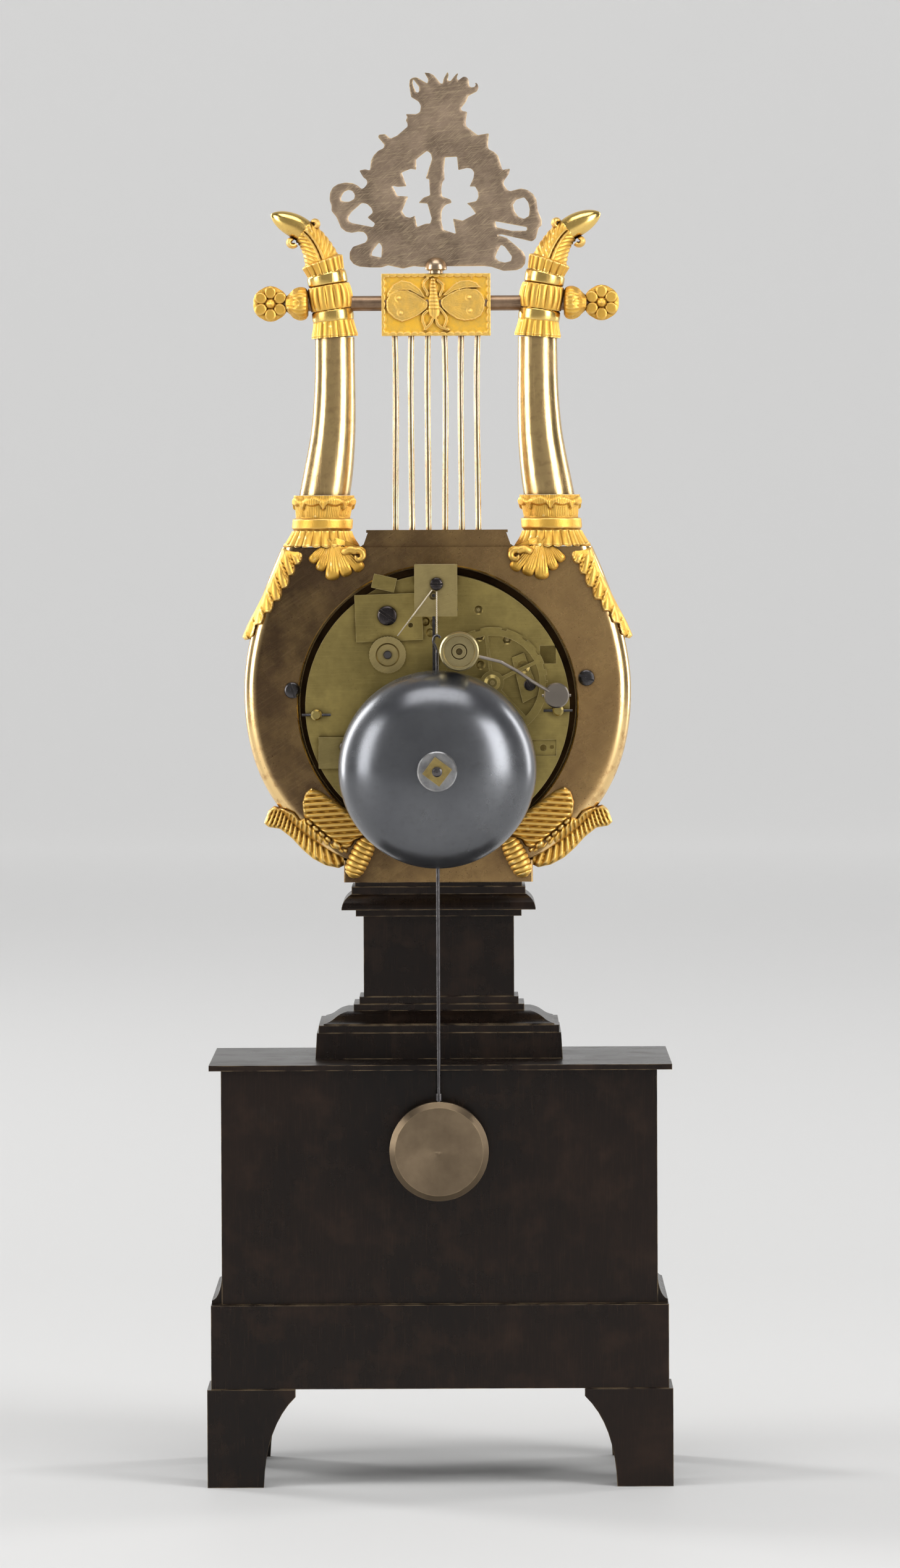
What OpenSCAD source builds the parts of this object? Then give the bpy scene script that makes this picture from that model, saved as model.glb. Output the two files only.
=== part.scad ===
// Lyre mantel clock, modelled from the photographed rear.
// +Z is up, the rear faces -Y, the dial faces +Y, and the origin is on the table under the middle.

/* [Plinth] */
// Width of the lower box of the plinth
plinth_w = 148.2; // [130:0.2:170]
// Depth of the lower box of the plinth
plinth_d = 86; // [76:1:100]
// Height of the lower box
band_h = 27.2; // [20:0.2:34]
// Height of the bracket feet
foot_h = 31.8; // [24:0.2:38]
// Width of a bracket foot at its top
foot_top_w = 28.6; // [24:0.2:34]
// Width of a bracket foot at the floor
foot_toe_w = 18.2; // [14:0.2:22]
// How far the upper box stands in from the lower one
box_inset = 3.5; // [2.5:0.1:5]
// Height of the upper box
box_h = 76; // [60:0.5:90]
// Thickness of the cap slab
cap_t = 1.8; // [1.4:0.1:3]
// How far the cap slab stands out from the lower box
cap_over = 0.8; // [0.4:0.1:2]
// Wall of the cast boxes
wall = 2.4; // [1.8:0.1:3.2]

/* [Pedestal] */
// Width of the pedestal at its foot
ped_w = 80.8; // [74:0.2:86]
// Depth of the pedestal at its foot
ped_d = 54; // [48:0.5:58]
// Height of the foot block and its mouldings
ped_foot_h = 19.5; // [17:0.1:24]
// Height of the plain middle
ped_die_h = 26.5; // [20:0.5:34]
// Width of the plain middle
ped_die_w = 49.4; // [44:0.2:56]
// Height of the cap mouldings
ped_cap_h = 11.2; // [9:0.1:14]
// How far the rear of the pedestal stands in from the rear of the slab
ped_setback = 29.5; // [26:0.5:34]

/* [Lyre] */
// Thickness of the lyre body
lyre_t = 22; // [18:0.5:26]
// Half width of the lyre body
lyre_half_w = 63.5; // [58:0.5:70]
// Radius of the round opening for the movement
opening_r = 45.8; // [45.4:0.1:47]
// Radius of the rounded edge of the body
edge_r = 5; // [2:0.5:7]
// Diameter of the strings
string_d = 2; // [1.4:0.1:2.6]
// Diameter of the crossbar
bar_d = 5; // [4:0.1:6]
// Thickness of the pierced cresting
crest_t = 2.2; // [1.6:0.1:3]

/* [Movement] */
// Radius of the two plates
plate_r = 43; // [42:0.1:43.2]
// Thickness of the plates
plate_t = 1.8; // [1.4:0.1:2.4]
// Space between the plates
plate_gap = 30; // [30:0.5:34]
// Radius of the bell
bell_r = 31.9; // [29:0.1:33]
// Depth of the bell
bell_depth = 21; // [18:0.5:25]
// Radius of the pendulum bob
bob_r = 16; // [13:0.5:18]
// Length of the pendulum from its silk to the middle of the bob
pendulum_l = 180.8; // [174:0.2:186]
// Diameter of the pendulum rod
rod_d = 1.1; // [0.8:0.1:1.6]

/* [Dial] */
// Radius of the enamel dial
dial_r = 42.8; // [41:0.1:43]
// Radius of the opening of the glazed bezel
sight_r = 39.5; // [38:0.5:41]
// Width of the hinged bezel ring
bezel_w = 7; // [6:0.5:8]

/* [Hidden] */
$fn = 48;
fit = 0.05;

// Heights of the plinth and pedestal, from the floor up
band_top = foot_h + band_h;
box_top = band_top + box_h;
cap_top = box_top + cap_t;
ped_foot_top = cap_top + ped_foot_h;
ped_die_top = ped_foot_top + ped_die_h;
ped_top = ped_die_top + ped_cap_h;

// Widths and depths
box_w = plinth_w - 2*box_inset;
box_d = plinth_d - 2*box_inset;
slab_w = plinth_w + 2*cap_over;
slab_d = plinth_d + 2*cap_over;
foot_over = 1.3;
lyre_inset = 3;
// Room for the motion work between the front plate and the front of the body
front_room = 8.4;
stand_off = front_room + 2*plate_t + plate_gap - lyre_t;
bell_gap = 29.5;
stud_out = 7.9;
rear_reach = slab_d/2 - ped_setback - (ped_w - ped_die_w)/2 + lyre_inset + stand_off + bell_gap + bell_depth + stud_out;
// The plinth stands forward of the origin, because the bell and its stud reach far out behind it
base_y = (rear_reach - plinth_d/2 - foot_over)/2;
ped_rear = base_y - slab_d/2 + ped_setback;
ped_mid_y = ped_rear + ped_d/2;
ped_step = (ped_w - ped_die_w)/2;

// The lyre stands on the pedestal, a little behind its middle
foot_plate_h = 7.2;
foot_plate_w = 62;
lyre_mid_z = ped_top + foot_plate_h + opening_r + 5.1;
lyre_rear = ped_rear + ped_step - lyre_inset;
lyre_front = lyre_rear + lyre_t;
shoulder_z = lyre_mid_z + 51.8;
shoulder_x = 38.5;
yoke_z = shoulder_z;
yoke_top = yoke_z + 5.6;
collar_h = 17.1;
horn_h = 51.8;
horn_z = shoulder_z + collar_h;
upper_z = horn_z + horn_h;
lyre_axis_y = lyre_rear + lyre_t/2;
bar_z = upper_z + 11.1;
plaque_w = 35.8;
plaque_h = 20.4;
plaque_t = 5;
plaque_bottom = upper_z + 0.4;
plaque_top = plaque_bottom + plaque_h;

// Movement: x and height are taken from the middle of the plates, as seen from the rear
back_y = lyre_rear - stand_off;
front_y = back_y + plate_t + plate_gap;
inner_back = back_y + plate_t;
plates_front = front_y + plate_t;
pivot_r = 0.5;
arbor_r = 0.8;
escape_at = [-1, 27.1];
anchor_at = [-1, 36.3];
third_at = [2, 16.5];
inter_at = [-16.9, 4.5];
going_at = [-19, -13];
strike_at = [19, -13];
second_at = [17.85, 7.7];
pin_at = [22.8, 21.6];
lock_at = [13.9, 22.6];
warn_at = [13.5, 31.3];
fly_at = [6.3, 31.5];
hammer_at = [38.6, 3.7];
silk_wheel_at = [-16.1, 16.9];
pillar_at = [[-39.4, -2.6], [39.2, -1.5], [-16.2, 29.6], [3, -38.8]];
train = [[0, 0], escape_at, third_at, inter_at, second_at, pin_at, lock_at, warn_at, fly_at];

// Levels of the wheels, measured forward from the inner face of the back plate
pin_level = 1.2;
anchor_level = 2.7;
second_level = 4.2;
centre_level = 7.2;
lock_level = 8.2;
third_level = 10.7;
warn_level = 13.2;
inter_level = 13.9;
barrel_level = 16.8;
fly_level = 15.7;
wheel_t = 0.8;
barrel_len = 11.2;

// Tooth counts of the two trains and the motion work
going_teeth = 72;
inter_leaves = 12;
inter_teeth = 66;
centre_leaves = 10;
centre_teeth = 80;
third_leaves = 8;
third_teeth = 84;
escape_leaves = 6;
escape_teeth = 30;
strike_teeth = 80;
second_leaves = 20;
second_teeth = 72;
pin_leaves = 8;
pin_teeth = 60;
lock_leaves = 6;
lock_teeth = 56;
warn_leaves = 7;
warn_teeth = 48;
fly_leaves = 6;
escape_r = 6.5;

// Rear of the movement
block_w = 13.8;
block_top = 46.3;
block_bottom = 29.6;
block_reach = 25.5;
block_t = 2;
screw_z = 40;
bell_drop = -19.6;
bell_rim = back_y - bell_gap;
bell_wall = 1.6;
rod_y = back_y - block_reach - 1;
swing_z = screw_z - 2.1;
count_r = 18.05;
count_y = back_y - 2.4;
head_r = 6.3;
// The head rests just clear of the bell's rim
head_gap = 0.57;
head_way = [7.2, 38.1];
head_at = [0, bell_drop] + (bell_r + head_r + head_gap)*head_way/norm(head_way);
head_y = bell_rim - 0.8;
head_len = 11.5;

// Dial side
tube_r = plate_r + 2.3;
flange_r = 53;
dial_seat = lyre_front - 1.4;
hand_y = dial_seat + 3;
dial_t = 1;
cannon_teeth = 12;
minute_teeth = 36;
minute_leaves = 10;
hour_teeth = 40;
post_at = 12;
post_angle = 20;
pipe_r = 1;
hinge_x = flange_r + 1.2;
hinge_y = lyre_front + 2.6;

gilt = "#c8952c";
burnished = "#c9a55c";
bronze = "#2a1d16";
aged = "#8d7a3c";
steel = "#3a3f48";
bluing = "#25272e";

// A quadratic curve from a to c that leaves a towards b
function curve(a, b, c, n=8) = [for (i = [0:n]) let (t = i/n) (1-t)*(1-t)*a + 2*t*(1-t)*b + t*t*c];
// Points of an arc
function arc(r, a0, a1, n=16, c=[0, 0]) = [for (i = [0:n]) c + r*[cos(a0+(a1-a0)*i/n),
    sin(a0+(a1-a0)*i/n)]];
function flip(pts) = [for (i = [len(pts)-1:-1:0]) [-pts[i][0], pts[i][1]]];
function polar(r, a) = [r*cos(a), r*sin(a)];
function heading(a, b) = atan2(b[1]-a[1], b[0]-a[0]);
// Turn of the second wheel of a pair that puts a gap before the tooth of the first
function mesh_turn(turn, teeth, other, way) = way + 180 + 180/other - (turn - way)*teeth/other;
// Module of a pair of wheels from the distance between their arbors
function pair_module(a, b, teeth, leaves) = 2*norm(b - a)/(teeth + leaves);
function tooth_ring(z, m, add, ded, tip, root, turn) = [for (i = [0:z-1], k = [0:3])
    let (r = z*m/2 + (k == 1 || k == 2 ? add : -ded)*m, f = [-root, -tip, tip, root][k])
    polar(r, turn + (i + f)*360/z)];
function wheel_ring(z, m, turn) = tooth_ring(z, m, 0.9, 1.2, 0.1, 0.24, turn);
function few_leaves(z) = z < 7;
function pinion_ring(z, m, turn) = tooth_ring(z, m, few_leaves(z) ? 0.45 : 0.6, 1.4,
    few_leaves(z) ? 0.06 : 0.1,
    few_leaves(z) ? 0.14 : 0.2, turn);

// A flat shape drawn in x and z, standing between y and y + t
module standing(y, t) { translate([0, y + t, 0]) rotate([90, 0, 0]) linear_extrude(t) children(); }
// A turned piece whose axis runs along y, drawn as [radius, y]
module turned(pts, at=[0, 0], n=48) {
    translate([at[0], 0, at[1]]) rotate([-90, 0, 0]) rotate_extrude($fn=n) polygon(pts);
}
module rod_y_way(at, y0, y1, r, n=24) { translate([at[0], y0, at[1]]) rotate([-90, 0, 0])
    cylinder(r=r, h=y1-y0, $fn=n); }
module box_at(x0, x1, y0, y1, z0, z1) { translate([x0, y0, z0]) cube([x1-x0, y1-y0, z1-z0]); }
module centred_box(w, d, y, z0, z1) { box_at(-w/2, w/2, y-d/2, y+d/2, z0, z1); }
module both_sides() { children(); mirror([1, 0, 0]) children(); }
// Movement parts are placed from the middle of the plates
module in_movement() { translate([0, 0, lyre_mid_z]) children(); }

// A ring of points across a path, kept upright on the y axis
function ring_at(c, dir, r, n, flute, lobes) = [for (k = [0:n-1])
    let (a = k*360/n, q = 1 + flute*cos(a*lobes))
    c + r[0]*q*cos(a)*[dir[2], 0, -dir[0]] + r[1]*q*sin(a)*[0, 1, 0]];
function step_dir(path, i) = let (d = path[min(i+1, len(path)-1)] - path[max(i-1, 0)]) d/norm([d[0], d[2]]);
// A tube along a path; sizes holds [half width, half depth] at each point
module tube(path, sizes, n=12, flute=0, lobes=6, level_ends=false) {
    last = len(path) - 1;
    rings = [for (i = [0:last])
        let (d = level_ends && (i == 0 || i == last) ? [0, 0, 1] : step_dir(path, i))
        ring_at(path[i], d, sizes[i], n, flute, lobes)];
    points = [for (r = rings) each r];
    sides = [for (i = [0:last-1], k = [0:n-1]) let (a = i*n+k, b = i*n+(k+1)%n)
        each [[a, b+n, b], [a, a+n, b+n]]];
    polyhedron(points, concat(sides, [[for (k = [0:n-1]) k], [for (k = [n-1:-1:0]) last*n+k]]),
        convexity=6);
}

// A block with the same moulding on its four sides; pts holds [inset, height] from the bottom up
module moulded_block(w, d, pts) {
    right = function (half) [for (p = pts) [half - p[0], p[1]]];
    intersection() {
        translate([0, d/2, 0]) rotate([90, 0, 0]) linear_extrude(d)
            polygon(concat(right(w/2), flip(right(w/2))));
        translate([-w/2, 0, 0]) rotate([90, 0, 90]) linear_extrude(w)
            polygon(concat(right(d/2), flip(right(d/2))));
    }
}
module open_box(w, d, z0, z1, t, ledge) {
    difference() {
        centred_box(w, d, 0, z0, z1);
        centred_box(w - 2*t, d - 2*t, 0, z0 - 1, z1 - t);
        centred_box(w - 2*t - 2*ledge, d - 2*t - 2*ledge, 0, z1 - t - 1, z1 + 1);
    }
}

foot_lip = 2.4;
// One wing of a bracket foot, from the corner inwards
foot_wing = concat([[0, 0]], curve([foot_toe_w, 0], [foot_toe_w + 0.6, foot_h*0.63],
    [foot_top_w, foot_h - foot_lip]),
    [[foot_top_w, foot_h], [0, foot_h]]);
module bracket_feet() {
    color(bronze) translate([0, base_y, 0]) for (sx = [-1, 1], sy = [-1, 1])
        corner(sx, sy) translate([-plinth_w/2 - foot_over, -plinth_d/2 - foot_over, 0]) {
            standing(0, wall) polygon(foot_wing);
            translate([0, wall, 0]) rotate([90, 0, 90]) linear_extrude(wall)
                polygon([for (p = foot_wing) [max(p[0] - wall, 0), p[1]]]);
        }
}
module corner(sx, sy) { mirror([sx > 0 ? 1 : 0, 0, 0]) mirror([0, sy > 0 ? 1 : 0, 0]) children(); }
module base_band() { color(bronze) translate([0, base_y, 0]) open_box(plinth_w, plinth_d, foot_h,
    band_top, wall, 6); }
module base_box() { color(bronze) translate([0, base_y, 0]) open_box(box_w, box_d, band_top, box_top,
    wall, 4); }
// The hollow moulding at the foot of the upper box stops short of the rear
moulding_h = 8.3;
moulding_stop = 1.6;
module box_moulding() {
    reach = box_inset - 0.2;
    profile = concat([[0, 0]], curve([0, 1.2], [reach*0.75, 1.8], [reach, moulding_h], 6));
    color(bronze) translate([0, base_y, 0]) difference() {
        translate([0, -2*reach, band_top]) moulded_block(box_w + 2*reach, box_d + 6*reach, profile);
        centred_box(box_w, box_d, 0, band_top - 1, band_top + moulding_h + 1);
        box_at(-plinth_w, plinth_w, -plinth_d, -box_d/2 + moulding_stop, band_top - 1,
            band_top + moulding_h + 1);
    }
}
// The slab sits a little to one side of the box, as on the clock in the photograph
slab_shift = 0.5;
module base_cap() { color(bronze) translate([slab_shift, 0, 0])
    centred_box(slab_w, slab_d, base_y, box_top, cap_top); }

module pedestal_foot() {
    s = ped_step;
    h = ped_foot_h;
    pts = concat([[0, 0], [0.03*s, 0.435*h], [0.07*s, 0.435*h], [0.07*s, 0.56*h], [0.17*s, 0.56*h]],
        curve([0.17*s, 0.58*h], [0.3*s, 0.6*h], [0.4*s, 0.67*h], 4),
            curve([0.4*s, 0.67*h], [0.5*s, 0.74*h], [0.66*s, 0.77*h], 4),
        [[0.79*s, 0.77*h], [0.79*s, 0.88*h], [0.91*s, 0.88*h], [0.91*s, h]]);
    color(bronze) translate([0, ped_mid_y, cap_top]) moulded_block(ped_w, ped_d, pts);
}
module pedestal_die() {
    color(bronze) difference() {
        centred_box(ped_die_w, ped_d - 2*ped_step, ped_mid_y, ped_foot_top, ped_die_top);
        centred_box(ped_die_w - 2*wall, ped_d - 2*ped_step - 2*wall, ped_mid_y, ped_foot_top - 1,
            ped_die_top + 1);
    }
}
cap_out = 7.1;
module pedestal_cap() {
    h = ped_cap_h;
    w = ped_die_w + 2*cap_out;
    d = ped_d - 2*ped_step + 2*cap_out;
    pts = concat([[4.6, 0], [4.6, 0.2*h], [0, 0.2*h]], curve([0, 0.26*h], [0.4, 0.5*h], [3, 0.65*h], 6),
        [[3.3, 0.65*h], [3.3, 0.87*h], [4.4, 0.87*h], [4.4, h]]);
    color(bronze) translate([0, ped_mid_y, ped_die_top]) moulded_block(w, d, pts);
}

// Right half of the lyre body's outline, from the shoulder down to the foot, about its middle
shoulder_w = lyre_half_w - 12.5;
outline_top = shoulder_z - lyre_mid_z + edge_r;
foot_z = ped_top + foot_plate_h - lyre_mid_z;
outline_half = concat([[shoulder_w - 1.4, outline_top]],
    curve([shoulder_w, outline_top - edge_r], [lyre_half_w - 0.7, 26], [lyre_half_w, 7], 8),
    [for (p = curve([lyre_half_w, 7], [lyre_half_w + 1, -36], [foot_plate_w/2 - 2, foot_z], 10))
        if (p[1] < 6.9) p]);
outline = concat(outline_half, flip(outline_half));
function edge_normal(a, b) = let (d = (b - a)/norm(b - a)) [d[1], -d[0]];
// The outline drawn in by d
function drawn_in(pts, d) = [for (i = [0:len(pts)-1])
    let (n1 = edge_normal(pts[(i+len(pts)-1)%len(pts)], pts[i]),
        n2 = edge_normal(pts[i], pts[(i+1)%len(pts)]),
         m = n1 + n2) pts[i] + d*m*2/(m*m)];
// A slab with rounded edges, front and rear
module rounded_slab(pts, r, t, steps=4) {
    n = len(pts);
    rear = [for (i = [0:steps]) [r*(1 - sin(90*i/steps)), r*(1 - cos(90*i/steps))]];
    layers = concat(rear, [for (i = [steps:-1:0]) [rear[i][0], t - rear[i][1]]]);
    points = [for (s = layers) each [for (p = drawn_in(pts, s[0])) [p[0], s[1], p[1]]]];
    last = len(layers) - 1;
    sides = [for (i = [0:last-1], k = [0:n-1]) let (a = i*n+k, b = i*n+(k+1)%n)
        each [[a, b+n, b], [a, a+n, b+n]]];
    polyhedron(points, concat(sides, [[for (k = [0:n-1]) k], [for (k = [n-1:-1:0]) last*n+k]]),
        convexity=8);
}
module lyre_blank() {
    difference() {
        translate([0, lyre_rear, lyre_mid_z]) rounded_slab(outline, edge_r, lyre_t);
        box_at(-90, 90, lyre_rear - 1, lyre_front + 1, shoulder_z, shoulder_z + 30);
    }
    box_at(-foot_plate_w/2, foot_plate_w/2, lyre_rear, lyre_front, ped_top, ped_top + foot_plate_h);
}
case_screw_at = [[-47.6, 5], [48.8, 8.7]];
module lyre_body() {
    color("#7d5a33") difference() {
        lyre_blank();
        in_movement() {
            rod_y_way([0, 0], lyre_rear - 1, lyre_front + 1, opening_r, 128);
            for (p = case_screw_at) rod_y_way(p, lyre_rear - 1, lyre_front + 1, 1.7);
        }
    }
}
module string_yoke() {
    half = 22.7;
    h = yoke_top - yoke_z;
    color("#7d5a33") standing(lyre_rear + 1, lyre_t - 2) translate([0, yoke_z])
        polygon([[-half-2.6, 0], [half+2.6, 0], [half+1.6, 0.8], [half+1.4, 0.8], [half, h-0.9],
            [half+0.5, h-0.9],
            [half+0.5, h], [-half-0.5, h], [-half-0.5, h-0.9], [-half, h-0.9], [-half-1.4, 0.8],
                [-half-1.6, 0.8]]);
}

// Relief ornaments lie on the body's rear and wrap its edge; the body is cut out of their backs
relief = 1.8;
module leaf(depth) { in_movement() standing(lyre_rear - relief, relief + depth) children(); }
module laid_on_body() {
    difference() {
        union() both_sides() children();
        lyre_blank();
        in_movement() rod_y_way([0, 0], lyre_rear - 5, lyre_front, opening_r, 128);
    }
}
shoulder_top = shoulder_z - lyre_mid_z;
// A fan of petals spreading down from its root
function fan(c, r, a0, a1, petals, steps=5) = concat([c], [for (i = [0:petals*steps])
    let (a = a0 + (a1-a0)*i/(petals*steps)) c + r*(0.8 + 0.2*abs(sin(180*i/steps)))*[cos(a), sin(a)]]);
palm_leaf = concat(curve([42, shoulder_top], [50, 42], [55.5, 31], 4),
    curve([55.5, 31], [59.5, 26], [63.6, 20], 3),
    curve([64.2, 21], [60.8, 38], [52.6, shoulder_top], 5));
module shoulder_leaves() {
    color(gilt) laid_on_body() {
        leaf(4) polygon(fan([33.4, shoulder_top], 14, 190, 330, 5));
        leaf(16) polygon(palm_leaf);
    }
}
upper_leaf = concat(curve([25, -52], [34, -47], [43.6, -37], 4),
    curve([43.6, -37], [45, -31.5], [42.4, -26.8], 3),
    curve([40.8, -28.5], [36.5, -34.5], [24, -47], 4));
lower_leaf = concat(curve([27, -56.4], [40, -53], [50.5, -42], 5),
    curve([50.5, -42], [54, -39.4], [57, -38.6], 3),
    curve([56.5, -36.8], [52, -32.6], [46, -36.5], 3), curve([44, -38], [37, -46], [25, -52.2], 4));
// A ribbed roll from a to b on the rear of the body
module ribbed_roll(a, b, r, ribs) {
    path = [for (i = [0:ribs*3]) let (p = a + (b-a)*i/(ribs*3)) [p[0], lyre_rear - r*0.4, p[1]]];
    tube(path, [for (i = [0:ribs*3]) let (e = sqrt(max(0.12, 1 - pow(2*i/(ribs*3) - 1,
        4)))*(i%3 == 0 ? 0.86 : 1)) r*[e, e]], 12);
}
module lower_leaves() {
    color(gilt) laid_on_body() {
        leaf(3) polygon(upper_leaf);
        leaf(12) polygon(lower_leaf);
        in_movement() ribbed_roll([22.5, -43.5], [28.6, -56], 3.3, 6);
    }
}

// Lobed ring for flutes, gadroons and petals
function lobed(r, lobes, depth, steps=4) = [for (i = [0:lobes*steps-1])
    let (a = i*360/(lobes*steps)) r*(1 - depth + depth*abs(sin(180*i/steps)))*[cos(a), sin(a)]];
module flared(r0, r1, h, lobes, depth, steps=3) { linear_extrude(h, scale=r1/r0)
    polygon(lobed(r0, lobes, depth, steps)); }
module band_ring(r, h, round=0.5) {
    rotate_extrude() polygon([[0, 0], [r - round, 0], [r, round], [r, h - round], [r - round, h], [0, h]]);
}
horn_foot_x = 36.9;
lower_collar_x = 38;
module lower_collar() {
    skirt = 5.9;
    ring = 3.3;
    neck = skirt + ring;
    translate([lower_collar_x, lyre_axis_y, shoulder_z]) {
        flared(13.1, 9.8, skirt, 22, 0.07);
        translate([-0.2, 0, skirt - 0.3]) band_ring(10.1, ring + 0.6);
        translate([-0.8, 0, neck]) flared(8.8, 9.6, 3.9, 12, 0.05);
        translate([-1, 0, neck + 3.6]) flared(9.3, 10.8, collar_h - neck - 4.5, 8, 0.12, 4);
        translate([-1.1, 0, collar_h - 1.2]) flared(10.9, 9.6, 1.2, 8, 0.12, 4);
    }
}
module lower_collars() { color(gilt) both_sides() lower_collar(); }

// The horn's bend: distance out, height above its foot and radius
horn_bend = [[36.9, 0, 8.4], [35.9, 6, 8.2], [34.9, 13, 7.8], [34, 21, 7.3], [33.5, 30, 6.9],
    [33.3, 40, 6.6], [33.3, 51.8, 6.45]];
module horn() {
    path = [for (p = horn_bend) [p[0], lyre_axis_y, horn_z + p[1]*horn_h/horn_bend[len(horn_bend)-1][1]]];
    tube(path, [for (p = horn_bend) [p[2], p[2]]], 24, level_ends=true);
}
module horns() { color(burnished) both_sides() horn(); }

horn_top_x = 33.3;
module upper_collar() {
    r = 6.6;
    bar_y = lyre_axis_y;
    difference() {
        union() {
            translate([horn_top_x, bar_y, upper_z]) flared(7.6, 6.5, 5.4, 16, 0.07);
            translate([horn_top_x + 0.4, bar_y, upper_z + 5.2]) rotate([0, 6, 0]) band_ring(r + 0.2, 3.8);
            translate([horn_top_x + 0.8, bar_y, upper_z + 8.4]) rotate([0, 9, 0]) linear_extrude(8.6)
                polygon(lobed(r + 0.3, 16, 0.06));
            translate([horn_top_x + 2.1, bar_y, upper_z + 16.4]) rotate([0, 13, 0]) band_ring(r, 3.8);
            translate([horn_top_x + 2.9, bar_y, upper_z + 19.8]) rotate([0, 16, 0])
                flared(6.2, 7, 4.6, 16, 0.07);
            tube([[horn_top_x + 3.8, bar_y, upper_z + 23], [horn_top_x + 5.3, bar_y, upper_z + 28],
                  [horn_top_x + 7.7, bar_y, upper_z + 32.6], [horn_top_x + 11, bar_y, upper_z + 36.3],
                  [horn_top_x + 14, bar_y, upper_z + 38.4]], [for (q = [5.8, 5.3, 4.9, 4.4, 3.4]) [q,
                      q]], 24, 0.07, 8);
            tube([[horn_top_x + 12.4, bar_y, upper_z + 37.4], [horn_top_x + 15, bar_y, upper_z + 38.9],
                  [horn_top_x + 17.2, bar_y, upper_z + 39.9], [horn_top_x + 19, bar_y, upper_z + 40.6],
                  [horn_top_x + 20, bar_y, upper_z + 40.9]], [for (q = [3.3, 3.4, 2.9, 1.8, 0.4]) [q,
                      q]], 16);
        }
        translate([0, bar_y, bar_z]) rotate([0, 90, 0]) cylinder(d=bar_d + 2*fit, h=90);
    }
}
module upper_collars() { color(gilt) both_sides() upper_collar(); }

bar_half = 42;
tenon_r = 1.2;
tenon_l = 8;
module crossbar() {
    color("#8a6a4a") translate([0, lyre_axis_y, bar_z]) rotate([0, 90, 0]) {
        translate([0, 0, -bar_half]) cylinder(d=bar_d, h=2*bar_half);
        translate([0, 0, -bar_half - tenon_l]) cylinder(r=tenon_r, h=2*bar_half + 2*tenon_l, $fn=24);
    }
}
rose_x = bar_half + 12.4;
module rosettes() {
    color(gilt) both_sides() difference() {
        union() {
            tube([for (p = [0, 0.8, 2.6, 4.6, 6, 7]) [bar_half + p, lyre_axis_y, bar_z]],
                [for (q = [3.4, 4.6, 5.1, 4.4, 3, 1.9]) [q, q]], 24, 0.06, 12);
            translate([rose_x, lyre_axis_y, bar_z]) {
                rotate([90, 0, 0]) translate([0, 0, -2]) cylinder(r=3.9, h=4);
                for (a = [30:60:330]) translate([3.8*cos(a), 0, 3.8*sin(a)]) sphere(r=2.1, $fn=20);
                for (s = [-1, 1]) translate([0, 1.6*s, 0]) sphere(r=1.7, $fn=20);
            }
        }
        translate([bar_half - 1, lyre_axis_y, bar_z]) rotate([0, 90, 0])
            cylinder(r=tenon_r + fit, h=tenon_l + 1.2, $fn=24);
    }
}

wing_upper = concat(curve([1.2, 1.2], [6, 8.6], [12.2, 7.4], 5),
    curve([12.2, 7.4], [15.6, 6], [15, 2.4], 3), [[8, 1.6], [1.2, -0.4]]);
wing_lower = concat([[1.2, -0.2]], curve([6, 2.6], [13.4, 4.6], [16, 0.8], 4),
    curve([16, 0.8], [15.6, -5.4], [10.4, -6.2], 4),
    curve([10.4, -6.2], [5.4, -5.6], [1.2, -1.6], 4));
module butterfly(t) {
    both_sides() {
        standing(-t*0.6, t*0.6) polygon(wing_upper);
        standing(-t*0.85, t*0.85) polygon(wing_lower);
        standing(-t, t) polygon(concat(curve([0.8, -4.2], [1.6, -8], [3.6, -8.4], 3),
            [[3, -7], [2.2, -4.6], [1.6, -3.4]]));
    }
    standing(-t*1.5, t*1.5) polygon([for (i = [0:15]) let (a = i*22.5) [1.55*cos(a), 6.6*sin(a)]]);
}
module plaque() {
    rim = 1.3;
    sunk = 0.7;
    bead = 0.45;
    color(gilt) translate([0, lyre_axis_y, plaque_bottom + plaque_h/2]) difference() {
        union() {
            difference() {
                centred_box(plaque_w, plaque_t, 0, -plaque_h/2, plaque_h/2);
                for (s = [-1, 1]) centred_box(plaque_w - 2*rim, 2*sunk, s*plaque_t/2, rim - plaque_h/2,
                    plaque_h/2 - rim);
            }
            for (s = [0, 1]) mirror([0, s, 0]) {
                translate([0, sunk - plaque_t/2, 0]) butterfly(0.6);
                for (x = [-plaque_w/2 + rim/2:1.45:plaque_w/2], z = [-1, 1])
                    rod_y_way([x, z*(plaque_h - rim)/2], -plaque_t/2 - bead, -plaque_t/2 + 0.2, 0.5, 16);
                for (z = [-plaque_h/2 + rim/2 + 1.45:1.45:plaque_h/2 - rim], x = [-1, 1])
                    rod_y_way([x*(plaque_w - rim)/2, z], -plaque_t/2 - bead, -plaque_t/2 + 0.2, 0.5, 16);
            }
        }
        translate([-plaque_w, 0, bar_z - plaque_bottom - plaque_h/2]) rotate([0, 90, 0])
            cylinder(d=bar_d + 2*fit, h=2*plaque_w);
    }
}
string_pitch = 5.45;
string_bow = [0.3, -0.25, -0.2, 0.3, -0.2, -0.35];
module strings() {
    h = plaque_bottom - yoke_top;
    color(burnished) for (i = [0:5]) let (x = (i - 2.5)*string_pitch, b = string_bow[i])
        tube([[x, lyre_axis_y, yoke_top], [x + b*0.4, lyre_axis_y, yoke_top + h*0.3],
            [x + b, lyre_axis_y, yoke_top + h*0.62],
            [x + b*0.8, lyre_axis_y, yoke_top + h*0.85], [x, lyre_axis_y, plaque_bottom]],
            [for (k = [0:4]) [string_d/2, string_d/2]], 10, level_ends=true);
}

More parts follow.
